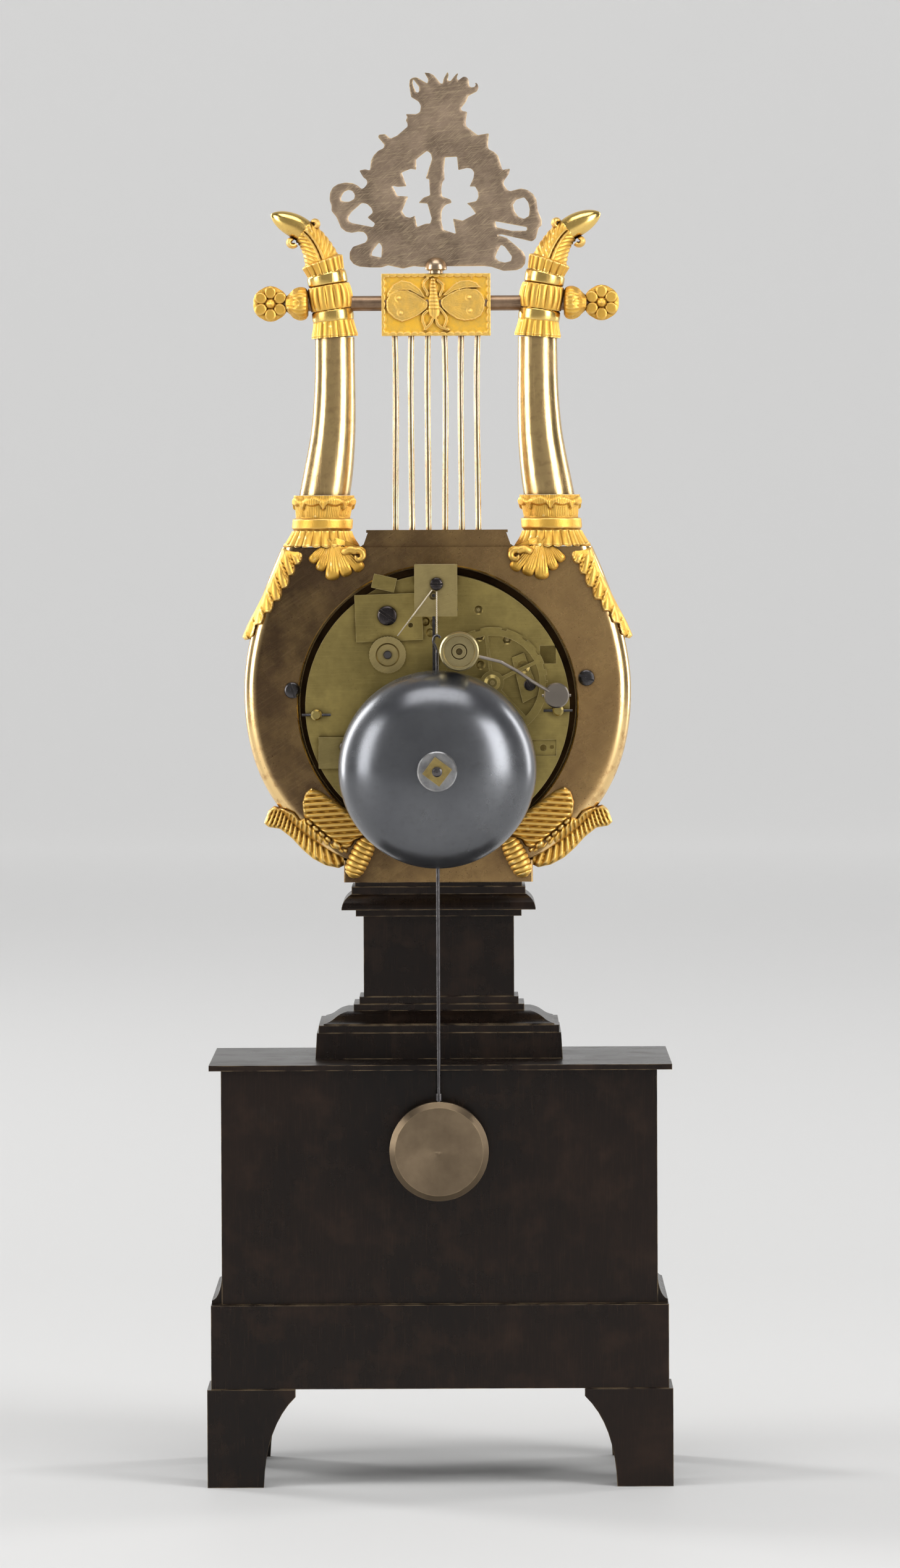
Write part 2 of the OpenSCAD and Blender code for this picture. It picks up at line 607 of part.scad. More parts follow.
// Right half of the pierced cresting, from the middle of its foot up to the plume
crest_z = plaque_top + 0.7;
crest_half = concat([[0, 0.6], [8, 0.2], [14, 1.2], [19.7, 1.4]],
    curve([21, 1], [27.5, -1.2], [29.4, 2.6], 4),
    curve([29.4, 2.6], [30.2, 6.6], [26.4, 8.6], 4), [[24.6, 10.4]],
        curve([24.6, 10.4], [27.2, 9.6], [31.6, 9.8], 3),
    curve([31.6, 9.8], [35.2, 12.4], [34.7, 16.6], 4), curve([34.7, 16.6], [34.6, 26.6], [27.6, 26.9], 6),
    [[24.2, 26.2], [22.3, 29.3], [24.4, 33.8], [21.6, 33.6]], curve([21, 36], [20.4, 38], [18.3, 39.8], 3),
    [[17.8, 45.3], [14.6, 44.4]], curve([14.3, 44.5], [12, 45.6], [10, 47.6], 3), [[10.6, 52.2], [8.6, 53]],
    [[8.8, 55], [10.4, 56.8]], curve([10.4, 58], [13.4, 57.8], [14.1, 60.6], 3),
        curve([12.9, 60.2], [11.4, 60.4], [11.2, 63.8], 3),
    [[9.4, 62.2], [8.4, 62.2], [7.4, 65], [6, 61.8], [5, 61.6], [4, 65.4], [2.9, 61.6], [1.4, 61.8],
        [0, 65.6]]);
crest_eye = [0, 26];
crest_eye_r = [13.9, 13.7];
module cresting() {
    color("#7a5f4c") standing(lyre_axis_y - crest_t/2, crest_t) translate([0, crest_z]) difference() {
        polygon(concat(crest_half, [for (i = [len(crest_half)-2:-1:1]) [-crest_half[i][0],
            crest_half[i][1]]]));
        difference() {
            polygon([for (i = [0:27]) let (a = i*360/28, q = i%2 == 0 ? 0.8 : 1)
                crest_eye + [crest_eye_r[0]*q*cos(a), crest_eye_r[1]*q*sin(a)]]);
            polygon([[-2.6, 10], [3, 10], [2.2, 17], [2, 21.5], [5.4, 22.4], [2.6, 24.4], [1.6, 28],
                [2.4, 31.4], [1.4, 36], [2.8, 42],
                [-3, 42], [-1.6, 37], [-2.8, 31.2], [-1.5, 28.6], [-1.9, 24.6], [-5, 23.4], [-2, 21.2]]);
        }
        both_copies() {
            polygon(concat(curve([25, 18.5], [31, 15.4], [31.4, 19], 4),
                curve([31.4, 19], [31, 24.6], [27.6, 24], 4), [[25.6, 21.6]]));
            polygon([[19.8, 15.6], [24, 16], [29.4, 14.8], [29.6, 13.4], [24, 13.6], [20.6, 14.4]]);
            polygon(concat([[20.6, 4.2]], curve([22, 3.2], [25.4, 2.6], [25.6, 4.6], 3), [[22.4, 10]]));
        }
    }
}
module both_copies() { children(); mirror([1, 0]) children(); }
nut_y = lyre_axis_y - crest_t/2 - 0.6;
module cresting_nut() {
    color(gilt) difference() {
        translate([0, nut_y, plaque_top]) rotate_extrude()
            polygon(concat([[0, 0], [2.4, 0], [2.4, 0.9], [3.6, 1.3]], arc(3.6, 0, 90, 10, [0, 1.7])));
        standing(lyre_axis_y - crest_t/2, crest_t) translate([0, crest_z])
            polygon(concat(crest_half, [for (i = [len(crest_half)-2:-1:1]) [-crest_half[i][0],
                crest_half[i][1]]]));
    }
}

// A cheese-head screw whose head stands to the rear of y; the slot is turned by slot_turn
module screw(at, y, shank, head, head_h, length, slot_turn=0) {
    difference() {
        turned(concat([[0, y + length], [shank, y + length], [shank, y], [head, y],
            [head, y - head_h*0.55]],
            curve([head, y - head_h*0.55], [head*0.9, y - head_h], [head*0.45, y - head_h], 4),
                [[0, y - head_h]]), at, 32);
        translate([at[0], y - head_h, at[1]]) rotate([0, slot_turn, 0])
            cube([head*2.4, head_h*1.1, head*0.3], center=true);
    }
}
module case_screws() {
    color(steel) in_movement() for (i = [0, 1])
        screw(case_screw_at[i], lyre_rear, 1.6, 2.65, 1.4, lyre_t + 1, [70, 20][i]);
}

pillar_r = 2.6;
pillar_end_r = 1.8;
module plate_disc(y) { rod_y_way([0, 0], y, y + plate_t, plate_r, 128); }
module pivot_holes(y) {
    for (p = [for (i = [0:len(train)-1]) if (i > 0) train[i]])
        rod_y_way(p, y - 1, y + plate_t + 1, pivot_r + fit, 16);
}
barrel_arbor_r = 2;
silk_arbor_r = 1.35;
block_screw_at = [[-4.7, 41.3], [3.9, 41.3]];
lug_screw_at = [for (a = [35, 160, 250]) polar(40, a)];
post_r = 0.9;
module front_plate() {
    color(aged) in_movement() difference() {
        plate_disc(front_y);
        pivot_holes(front_y);
        rod_y_way([0, 0], front_y - 1, plates_front + 1, pipe_r + fit, 24);
        rod_y_way(anchor_at, front_y - 1, plates_front + 1, pivot_r + fit, 16);
        rod_y_way(hammer_at, front_y - 1, plates_front + 1, pivot_r + fit, 16);
        for (p = [going_at, strike_at]) rod_y_way(p, front_y - 1, plates_front + 1, barrel_arbor_r + fit,
            32);
        for (p = pillar_at) rod_y_way(p, front_y - 1, plates_front + 1, pillar_end_r, 24);
        for (p = lug_screw_at) rod_y_way(p, front_y - 1, plates_front + 1, 0.8, 16);
    }
    color(steel) in_movement() rod_y_way(polar(post_at, post_angle), plates_front - 0.1,
        plates_front + 4.6, post_r);
}
anchor_hole_r = 2.4;
window_at = [[33.4, 13.8], [38.6, 19.6]];
module back_plate() {
    color(aged) in_movement() difference() {
        plate_disc(back_y);
        pivot_holes(back_y);
        rod_y_way([0, 0], back_y - 1, inner_back + 1, pivot_r + fit, 16);
        rod_y_way(second_at, back_y - 1, inner_back + 1, arbor_r + fit, 24);
        rod_y_way(anchor_at, back_y - 1, inner_back + 1, anchor_hole_r, 32);
        rod_y_way(hammer_at, back_y - 1, inner_back + 1, arbor_r + fit, 24);
        rod_y_way(silk_wheel_at, back_y - 1, inner_back + 1, silk_arbor_r + fit, 24);
        for (p = [going_at, strike_at]) rod_y_way(p, back_y - 1, inner_back + 1, pivot_r*2 + fit, 24);
        for (p = pillar_at) rod_y_way(p, back_y - 1, inner_back + 1, pillar_end_r, 24);
        for (p = block_screw_at) rod_y_way(p, back_y - 1, inner_back + 1, 0.8, 16);
        rod_y_way(right_screw_at, back_y - 1, inner_back + 1, 0.8, 16);
        for (p = stand_screw_at) rod_y_way(p, back_y - 1, inner_back + 1, 0.8, 16);
        box_at(window_at[0][0], window_at[1][0], back_y - 1, inner_back + 1, window_at[0][1],
            window_at[1][1]);
        box_at(30.8, 38.6, back_y - 1, back_y + 0.5, -16.2, -11);
        for (p = [[34.4, -13.6, 1.1], [37.2, -13.4, 0.7]]) rod_y_way([p[0], p[1]], back_y - 1,
            inner_back + 1, p[2], 16);
        for (p = [[-3.8, 27.6], [-2.2, 24], [14.1, 13.4]]) oil_sink(p, back_y);
        for (p = [escape_at, third_at, pin_at, lock_at, warn_at]) oil_sink(p, back_y);
    }
}
// A cup turned in the rear of a plate round a pivot
module oil_sink(at, y) { turned([[0, y - 1], [1.5, y - 1], [1.5, y], [0.9, y + 0.6], [0, y + 0.75]], at,
    24); }
module pillars() {
    color(aged) in_movement() for (i = [0:len(pillar_at)-1]) difference() {
        under_cock = i == 2;
        rear = under_cock ? back_y : back_y - 2.6;
        turned(concat([[0, rear], [pillar_end_r*0.7, rear], [pillar_end_r,
            rear + (under_cock ? 0 : 0.7)], [pillar_end_r, inner_back],
            [pillar_r + 0.6, inner_back], [pillar_r + 0.6, inner_back + 2],
                [pillar_r - 0.4, inner_back + 3.4]],
            curve([pillar_r - 0.4, inner_back + 6], [pillar_r + 0.7, inner_back + plate_gap/2],
                [pillar_r - 0.4, front_y - 6], 6),
            [[pillar_r + 0.6, front_y - 2], [pillar_r + 0.6, front_y], [pillar_end_r, front_y],
                [pillar_end_r, plates_front],
            [0, plates_front]]), pillar_at[i], 32);
        if (!under_cock) translate([pillar_at[i][0], back_y - 1.3, pillar_at[i][1]]) rotate([0, 90, 0])
            cylinder(r=0.45, h=9, center=true, $fn=16);
        if (under_cock) rod_y_way(pillar_at[i], back_y - 1, back_y + 8, 1.5, 24);
    }
}
module pillar_pins() {
    color(steel) in_movement() for (i = [0, 1, 3]) translate([pillar_at[i][0], back_y - 1.3,
        pillar_at[i][1]])
        rotate([0, 90, 0]) cylinder(r=0.45, h=9.4, center=true, $fn=16);
}

// Wheels: a toothed rim with spokes on an arbor; the level is measured from the back plate
module wheel(at, level, z, m, turn, spokes, t=wheel_t, hub=1.9) {
    rim = z*m/2 - 1.2*m;
    inner = rim - max(0.9, rim*0.1);
    translate([at[0], 0, at[1]]) standing(inner_back + level, t) {
        difference() {
            polygon(wheel_ring(z, m, turn));
            circle(r=inner);
        }
        difference() {
            circle(r=hub, $fn=32);
            circle(r=arbor_r - 0.1, $fn=24);
        }
        for (i = [0:spokes-1]) rotate(turn + i*360/spokes)
            translate([hub - 0.2, -rim*0.05]) square([inner - hub + 0.5, rim*0.1]);
    }
}
module pinion(at, level, z, m, turn, length) {
    translate([at[0], 0, at[1]]) standing(inner_back + level - length/2 + wheel_t/2, length)
        polygon(pinion_ring(z, m, turn));
}
// An arbor that carries a small pinion is turned down inside it, clear of the teeth that it meets
neck_r = 0.35;
neck_reach = 0.2;
module arbor(at, small_pinion=undef) {
    y = inner_back + (is_undef(small_pinion) ? 0 : small_pinion);
    neck = is_undef(small_pinion) ? [] : [[arbor_r, y - neck_reach], [neck_r, y - neck_reach],
        [neck_r, y + wheel_t + neck_reach], [arbor_r, y + wheel_t + neck_reach]];
    turned(concat([[0, back_y + 0.3], [pivot_r, back_y + 0.3], [pivot_r, inner_back + 0.3],
        [arbor_r, inner_back + 0.3]], neck, [[arbor_r, front_y - 0.3], [pivot_r, front_y - 0.3],
        [pivot_r, plates_front - 0.3], [0, plates_front - 0.3]]), at, 24);
}

centre_at = [0, 0];
m_going = pair_module(going_at, inter_at, going_teeth, inter_leaves);
m_inter = pair_module(inter_at, centre_at, inter_teeth, centre_leaves);
m_centre = pair_module(centre_at, third_at, centre_teeth, third_leaves);
m_third = pair_module(third_at, escape_at, third_teeth, escape_leaves);
m_strike = pair_module(strike_at, second_at, strike_teeth, second_leaves);
m_second = pair_module(second_at, pin_at, second_teeth, pin_leaves);
m_pin = pair_module(pin_at, lock_at, pin_teeth, lock_leaves);
m_lock = pair_module(lock_at, warn_at, lock_teeth, warn_leaves);
m_warn = pair_module(warn_at, fly_at, warn_teeth, fly_leaves);
// Circle of the lifting pins on their wheel
pin_circle = m_pin*(pin_teeth/2 - 1.2) - 0.45;
lift_pin_r = 0.32;

// Drum and toothed rim of a barrel, free on its arbor
module barrel(at, z, m) {
    rim = z*m/2 - 1.2*m;
    drum = rim - 0.5;
    y0 = inner_back + barrel_level;
    difference() {
        union() {
            translate([at[0], 0, at[1]]) standing(y0, 1.4) polygon(wheel_ring(z, m, 0));
            turned([[0, y0 + 1], [drum, y0 + 1], [drum, y0 + barrel_len - 0.8],
                [drum - 0.5, y0 + barrel_len - 0.8],
                [drum - 0.5, y0 + barrel_len], [0, y0 + barrel_len]], at, 96);
        }
        rod_y_way(at, y0 - 1, y0 + barrel_len + 1, barrel_arbor_r + fit, 32);
    }
}
module going_barrel() { color(gilt) in_movement() barrel(going_at, going_teeth, m_going); }
module strike_barrel() { color(gilt) in_movement() barrel(strike_at, strike_teeth, m_strike); }
square_w = 2.4;
ratchet_r = 6;
module winding_arbor(at) {
    color(steel) in_movement() {
        turned([[0, back_y + 0.3], [2*pivot_r, back_y + 0.3], [2*pivot_r, inner_back + 0.4],
            [barrel_arbor_r, inner_back + 0.4],
            [barrel_arbor_r, plates_front + 1.6], [0, plates_front + 1.6]], at, 32);
        translate([at[0], 0, at[1]]) {
            standing(plates_front + 1.6, 4.2) square(square_w, center=true);
            standing(plates_front + 0.4, 1) difference() {
                polygon([for (i = [0:23], k = [0, 1]) polar(k == 0 ? ratchet_r : ratchet_r*0.86,
                    i*15 + k*1.5)]);
                circle(r=barrel_arbor_r - 0.1, $fn=32);
            }
        }
    }
}
module going_arbor() { winding_arbor(going_at); }
module strike_arbor() { winding_arbor(strike_at); }

module intermediate_wheel() {
    color(gilt) in_movement() {
        arbor(inter_at);
        wheel(inter_at, inter_level, inter_teeth, m_inter, 0, 5);
        pinion(inter_at, barrel_level + 0.3, inter_leaves, m_going,
            mesh_turn(0, going_teeth, inter_leaves, heading(going_at, inter_at)), 2.4);
    }
}
module centre_wheel() {
    color(gilt) in_movement() {
        turned([[0, back_y + 0.3], [pivot_r, back_y + 0.3], [pivot_r, inner_back + 0.3],
            [pipe_r, inner_back + 0.3],
            [pipe_r, hand_y + 2.2], [0, hand_y + 2.2]], centre_at, 24);
        wheel(centre_at, centre_level, centre_teeth, m_centre, 0, 5, hub=2.4);
        pinion(centre_at, inter_level, centre_leaves, m_inter,
            mesh_turn(0, inter_teeth, centre_leaves, heading(inter_at, centre_at)), 2);
    }
}
module third_wheel() {
    color(gilt) in_movement() {
        arbor(third_at);
        wheel(third_at, third_level, third_teeth, m_third, 0, 4);
        pinion(third_at, centre_level, third_leaves, m_centre,
            mesh_turn(0, centre_teeth, third_leaves, heading(centre_at, third_at)), 2);
    }
}
module escape_wheel() {
    color(gilt) in_movement() {
        arbor(escape_at, third_level);
        translate([escape_at[0], 0, escape_at[1]]) standing(inner_back + anchor_level, wheel_t) {
            difference() {
                polygon([for (i = [0:escape_teeth-1], k = [0:2])
                    polar([0.8, 1, 0.8][k]*escape_r, (i + [0.1, 0.45, 0.62][k])*360/escape_teeth)]);
                circle(r=escape_r*0.66);
            }
            difference() {
                circle(r=1.6, $fn=32);
                circle(r=arbor_r - 0.1, $fn=24);
            }
            for (i = [0:3]) rotate(i*90) translate([1.4, -0.35]) square([escape_r*0.66 - 1.2, 0.7]);
        }
        pinion(escape_at, third_level, escape_leaves, m_third,
            mesh_turn(0, third_teeth, escape_leaves, heading(third_at, escape_at)), 2);
    }
}
// Pallets: two arms that stay clear of the escape wheel, with the crutch that drives the pendulum
anchor_clear = 1.15;
crutch_y = back_y - block_reach + 7;
fork_z = 3;
module pallet_anchor() {
    color(steel) in_movement() {
        turned([[0, back_y - block_reach + 0.3], [pivot_r, back_y - block_reach + 0.3],
            [pivot_r, back_y - block_reach + block_t + 0.3],
            [arbor_r, back_y - block_reach + block_t + 0.3], [arbor_r, front_y - 0.3],
                [pivot_r, front_y - 0.3],
            [pivot_r, plates_front - 0.3], [0, plates_front - 0.3]], anchor_at, 24);
        standing(inner_back + anchor_level - 0.1, 1) difference() {
            polygon(concat(arc(2, 35, 145, 6, anchor_at), [[escape_at[0] - 7.2, 33.4],
                [escape_at[0] - 7.9, 29.8], [escape_at[0] - 5.2, 30.4],
                [escape_at[0] - 3, 33.8], [escape_at[0] + 3, 33.8], [escape_at[0] + 5, 30.6],
                    [escape_at[0] + 5.7, 31.2],
                [escape_at[0] + 5.6, 33.6]]));
            translate(escape_at) circle(r=escape_r + anchor_clear, $fn=64);
            translate(anchor_at) circle(r=arbor_r - 0.1, $fn=24);
        }
        // Crutch: a thin rod down from the arbor, and a fork that reaches back round the pendulum rod
        difference() {
            turned([[0, crutch_y - 1], [1.5, crutch_y - 1], [1.5, crutch_y + 1], [0, crutch_y + 1]],
                anchor_at, 24);
            rod_y_way(anchor_at, crutch_y - 2, crutch_y + 2, arbor_r - 0.1);
        }
        box_at(anchor_at[0] - 0.45, anchor_at[0] + 0.45, crutch_y - 0.3, crutch_y + 0.3, fork_z,
            anchor_at[1] - 1.4);
        box_at(-2.4, 2.4, crutch_y - 0.5, crutch_y + 0.5, fork_z - 1.2, fork_z);
        for (s = [-1, 1]) box_at(s*1.5 - 0.5, s*1.5 + 0.5, rod_y - 1.4, crutch_y, fork_z - 1.1,
            fork_z - 0.1);
    }
}

module second_wheel() {
    color(gilt) in_movement() {
        turned([[0, count_y - 2.4], [arbor_r, count_y - 2.4], [arbor_r, front_y - 0.3],
            [pivot_r, front_y - 0.3],
            [pivot_r, plates_front - 0.3], [0, plates_front - 0.3]], second_at, 24);
        wheel(second_at, second_level, second_teeth, m_second, 0, 5);
        pinion(second_at, barrel_level + 0.3, second_leaves, m_strike,
            mesh_turn(0, strike_teeth, second_leaves, heading(strike_at, second_at)), 2.4);
    }
}
// The count wheel turns once in twelve hours; between its slots stand lands for 1 to 12 strokes and the half hours
count_t = 1;
strokes = 90;
function slots_before(hour) = hour*(hour + 1)/2 + hour;
module count_wheel() {
    rim = 2;
    stroke = 360/strokes;
    color(aged) in_movement() translate([second_at[0], 0, second_at[1]]) {
        standing(count_y - count_t, count_t) {
            difference() {
                circle(r=count_r - 0.7, $fn=96);
                circle(r=count_r - 0.7 - rim, $fn=96);
            }
            difference() {
                circle(r=3.8, $fn=32);
                circle(r=arbor_r, $fn=24);
            }
            for (i = [0:4]) rotate(25 + i*72) translate([3.6, -0.55]) square([count_r - rim - 4.1, 1.1]);
            for (hour = [1:12]) {
                from = slots_before(hour - 1)*stroke;
                land = hour*stroke - 1.6;
                if (land > 0) polygon(concat(arc(count_r, from, from + land, hour + 1),
                    arc(count_r - 1, from + land, from, hour + 1)));
            }
        }
        turned([[arbor_r, count_y - count_t - 0.9], [1.6, count_y - count_t - 0.9],
            [2.6, count_y - count_t], [arbor_r, count_y - count_t]],
            [0, 0], 32);
    }
}
module pin_wheel() {
    color(gilt) in_movement() {
        arbor(pin_at);
        wheel(pin_at, pin_level, pin_teeth, m_pin, 0, 4);
        pinion(pin_at, second_level, pin_leaves, m_second,
            mesh_turn(0, second_teeth, pin_leaves, heading(second_at, pin_at)), 2);
        for (i = [0:9]) rod_y_way(pin_at + polar(pin_circle, i*36), inner_back + pin_level + wheel_t,
            inner_back + pin_level + wheel_t + 1.2, lift_pin_r, 16);
    }
}
module locking_wheel() {
    color(gilt) in_movement() {
        arbor(lock_at, pin_level);
        wheel(lock_at, lock_level, lock_teeth, m_lock, 0, 4);
        pinion(lock_at, pin_level, lock_leaves, m_pin,
            mesh_turn(0, pin_teeth, lock_leaves, heading(pin_at, lock_at)), 1.6);
        rod_y_way(lock_at + [4.6, 0], inner_back + lock_level + wheel_t,
            inner_back + lock_level + wheel_t + 1.3, 0.35, 16);
    }
}
module warning_wheel() {
    color(gilt) in_movement() {
        arbor(warn_at, lock_level);
        wheel(warn_at, warn_level, warn_teeth, m_warn, 0, 4);
        pinion(warn_at, lock_level, warn_leaves, m_lock,
            mesh_turn(0, lock_teeth, warn_leaves, heading(lock_at, warn_at)), 1.6);
    }
}
vane_r = 5.4;
module fly() {
    color(gilt) in_movement() {
        arbor(fly_at, warn_level);
        pinion(fly_at, warn_level, fly_leaves, m_warn,
            mesh_turn(0, warn_teeth, fly_leaves, heading(warn_at, fly_at)), 1.6);
        difference() {
            union() {
                translate([fly_at[0], 0, fly_at[1]]) standing(inner_back + fly_level, 10) rotate(35)
                    square([2*vane_r, 0.5], center=true);
                rod_y_way(fly_at, inner_back + fly_level, inner_back + fly_level + 10, 1.2, 24);
            }
            rod_y_way(fly_at, inner_back, front_y, arbor_r - 0.1, 24);
        }
    }
}

// Suspension block: a shelf reaches back from a foot on the plate to a thin face that holds the pallets' rear pivot
block_x = -0.3;
block_y = back_y - block_reach;
shelf_z = block_top - 2.6;
block_foot_z = 39.3;
module suspension_block() {
    x0 = block_x - block_w/2;
    x1 = block_x + block_w/2;
    color(aged) in_movement() difference() {
        union() {
            box_at(x0, x1, block_y, block_y + block_t, block_bottom, block_top);
            box_at(x0 + 0.8, x1 - 0.8, block_y + 1, back_y, shelf_z, block_top);
            box_at(x0, x1, back_y - block_t, back_y, block_foot_z, block_top);
        }
        rod_y_way(anchor_at, block_y - 1, block_y + block_t + 1, pivot_r + fit, 16);
        oil_sink(anchor_at, block_y);
        rod_y_way([0, screw_z], block_y - 1, block_y + block_t + 1, 1.2, 24);
        for (p = block_screw_at) rod_y_way(p, back_y - block_t - 1, back_y + 1, 0.8, 16);
    }
}
lug_mid = [-17.2, 40.2];
right_cock = [[24.2, 15.8], [28.2, 17.4], [33.3, 3.9], [27.8, 1]];
right_screw_at = [30.1, 6.9];
stand_screw_at = [[-30, -13], [-27, -17.8]];
cock_t = 2.4;
module plate_cocks() {
    color(aged) in_movement() {
        difference() {
            standing(back_y - cock_t, cock_t) translate([-15.7, 29]) rotate(2)
                square([21.8, 15.3], center=true);
            rod_y_way(pillar_at[2], back_y - 4, back_y + 1, 1.6, 24);
            rod_y_way([-8.6, 26.5], back_y - 4, back_y + 1, 0.8, 16);
        }
        difference() {
            standing(back_y - 1.3, 1.3) polygon(right_cock);
            rod_y_way(right_screw_at, back_y - 4, back_y + 1, 0.8, 16);
            turned([[0, back_y - 2], [2.1, back_y - 2], [2.1, back_y - 1.3], [1.2, back_y - 0.6],
                [0, back_y - 0.5]], [28, 12.7], 24);
        }
        standing(back_y - 1.6, 1.6) translate(lug_mid) rotate(-13) square([7.6, 4.6], center=true);
    }
}
module plate_screws() {
    color(bluing) in_movement() {
        screw(pillar_at[2], back_y - cock_t, 1.45, 3.2, 1.7, 8, 35);
        screw(right_screw_at, back_y - 1.3, 0.75, 1.9, 0.55, 3, 60);
        screw([0, screw_z], block_y, 1.15, 2.1, 1.6, 1.8, 0);
        for (p = block_screw_at) screw(p, back_y - block_t, 0.75, 1.5, 0.9, 3.6, 20);
        for (p = stand_screw_at) screw(p, back_y - stand_t, 0.75, 1.9, 1, 3.8, 50);
        for (p = lug_screw_at) translate([0, 2*plates_front + 2*lug_t, 0]) mirror([0, 1, 0])
            screw(p, plates_front + lug_t, 0.75, 1.5, 0.9, 3, 70);
    }
}

silk_r = 0.22;
hook_z = 24;
silk_y = back_y - 4.1;
module silk_drop() {
    color("#8d7f66") in_movement() translate([0, rod_y, hook_z])
        cylinder(r=silk_r, h=swing_z - 0.3 - hook_z, $fn=12);
}
module silk_tail() {
    path = [[-1.48, rod_y, 38.1], [-4.4, rod_y, 34.24], [-7.75, rod_y, 29.8], [-9.9, rod_y + 8, 26.97],
        [-12.9, silk_y, 23]];
    color("#8d7f66") in_movement() tube(path, [for (p = path) [silk_r, silk_r]], 8);
}
module silk_wheel() {
    knurl = [for (i = [0:71]) polar(i%2 == 0 ? 6.05 : 5.85, i*5)];
    color(aged) in_movement() {
        difference() {
            translate([silk_wheel_at[0], 0, silk_wheel_at[1]]) standing(back_y - 5, 1.8) polygon(knurl);
            turned([[0, back_y - 6], [3.9, back_y - 6], [3.9, back_y - 5], [3.4, back_y - 4.3],
                [0, back_y - 4.1]], silk_wheel_at, 48);
        }
        turned([[0, back_y - 5.3], [1.1, back_y - 5.3], [1.3, back_y - 5], [silk_arbor_r, back_y - 4],
            [silk_arbor_r, back_y - 3.3],
            [3, back_y - 3.2], [3, back_y - 0.4], [silk_arbor_r, back_y - 0.4],
                [silk_arbor_r, inner_back + 1.8],
            [0, inner_back + 1.8]], silk_wheel_at, 32);
    }
}

// The rod hangs from a small pigtail hook in the silk's loop
module pendulum_rod() {
    r = rod_d/2;
    bend = 1.25;
    hook = concat([[0, rod_y, hook_z - 9]], [[0, rod_y, hook_z - 5.2]],
        [for (a = [-60:30:150]) [bend - 0.1 + bend*cos(180 - a) - 1.1,
        rod_y, hook_z - 2.2 + 1.7*sin(a)]]);
    color(steel) in_movement() {
        translate([0, rod_y, swing_z - pendulum_l + bob_r - 0.5])
            cylinder(r=r, h=hook_z - 6 - (swing_z - pendulum_l + bob_r - 0.5), $fn=16);
        translate([0, rod_y, swing_z - pendulum_l + bob_r + 0.4]) cylinder(r=r + 0.5, h=2.2, $fn=16);
        tube(hook, [for (p = hook) [r*0.8, r*0.8]], 10);
    }
}
bob_t = 7;
module pendulum_bob() {
    z = swing_z - pendulum_l;
    color("#6f5a33") in_movement() difference() {
        turned([[0, rod_y - bob_t/2 + 0.4], [bob_r - 2.6, rod_y - bob_t/2],
            [bob_r - 1.8, rod_y - bob_t/2], [bob_r, rod_y - bob_t/2 + 1.8],
            [bob_r, rod_y + bob_t/2 - 1.2], [bob_r - 1.2, rod_y + bob_t/2], [0, rod_y + bob_t/2]],
                [0, z], 64);
        translate([0, rod_y, z + bob_r - 6]) cylinder(r=rod_d/2, h=8, $fn=16);
    }
}

hub_y = back_y - 14.4;
module hammer() {
    wire = [[hammer_at[0] - 1, hub_y + 1.4, 4.2], [34.8, hub_y - 0.6, 5.9], [30.3, hub_y - 3, 8.6],
        [26.2, hub_y - 7, 11.6],
        [20.6, hub_y - 13, 14.9], [head_at[0] + 6.2, head_y - 4.2, head_at[1] - 1.7],
        [head_at[0] + 2.2, head_y - 5.4, head_at[1] - 0.5]];
    // At rest the tail ends just short of the lifting pins
    tail_l = norm(pin_at - hammer_at) - pin_circle - lift_pin_r - 0.3;
    tail_y = inner_back + pin_level + wheel_t + 0.4;
    color("#5a5148") in_movement() {
        turned([[0, hub_y - 0.6], [arbor_r, hub_y - 0.6], [arbor_r, front_y - 0.3],
            [pivot_r, front_y - 0.3], [pivot_r, plates_front - 0.3],
            [0, plates_front - 0.3]], hammer_at, 24);
        difference() {
            turned([[0, hub_y], [3.7, hub_y], [4.1, hub_y + 0.5], [4.1, hub_y + 3], [2, hub_y + 3.4],
                [2, hub_y + 6], [0, hub_y + 6]], hammer_at, 48);
            rod_y_way(hammer_at, hub_y - 1, hub_y + 7, arbor_r - 0.1, 24);
        }
        translate([hammer_at[0], hub_y + 1.6, hammer_at[1]]) rotate([0, 90, 0])
            cylinder(r=0.45, h=9.4, center=true, $fn=16);
        tube(wire, [for (p = wire) [0.55, 0.55]], 10);
        difference() {
            turned([[0, head_y - head_len], [4.9, head_y - head_len], [5.1, head_y - head_len - 0.4],
                [5.9, head_y - head_len - 0.4],
                [head_r, head_y - head_len + 0.4], [head_r, head_y], [0, head_y]], head_at, 64);
            rod_y_way(head_at, head_y - head_len - 1, head_y - head_len + 1.5, 2.6, 32);
        }
        difference() {
            rod_y_way(head_at, head_y - head_len - 0.2, head_y - 6, 2.2, 32);
            rod_y_way(head_at, head_y - head_len - 1, head_y - head_len + 3, 1.1, 24);
        }
        difference() {
            translate([hammer_at[0], 0, hammer_at[1]]) standing(tail_y, 0.8) {
                circle(r=2.2, $fn=32);
                rotate(heading(hammer_at, pin_at)) polygon([[0, -1.3], [tail_l, -0.5], [tail_l, 0.6],
                    [0, 1.3]]);
            }
            rod_y_way(hammer_at, tail_y - 1, tail_y + 2, arbor_r - 0.1, 24);
        }
    }
}

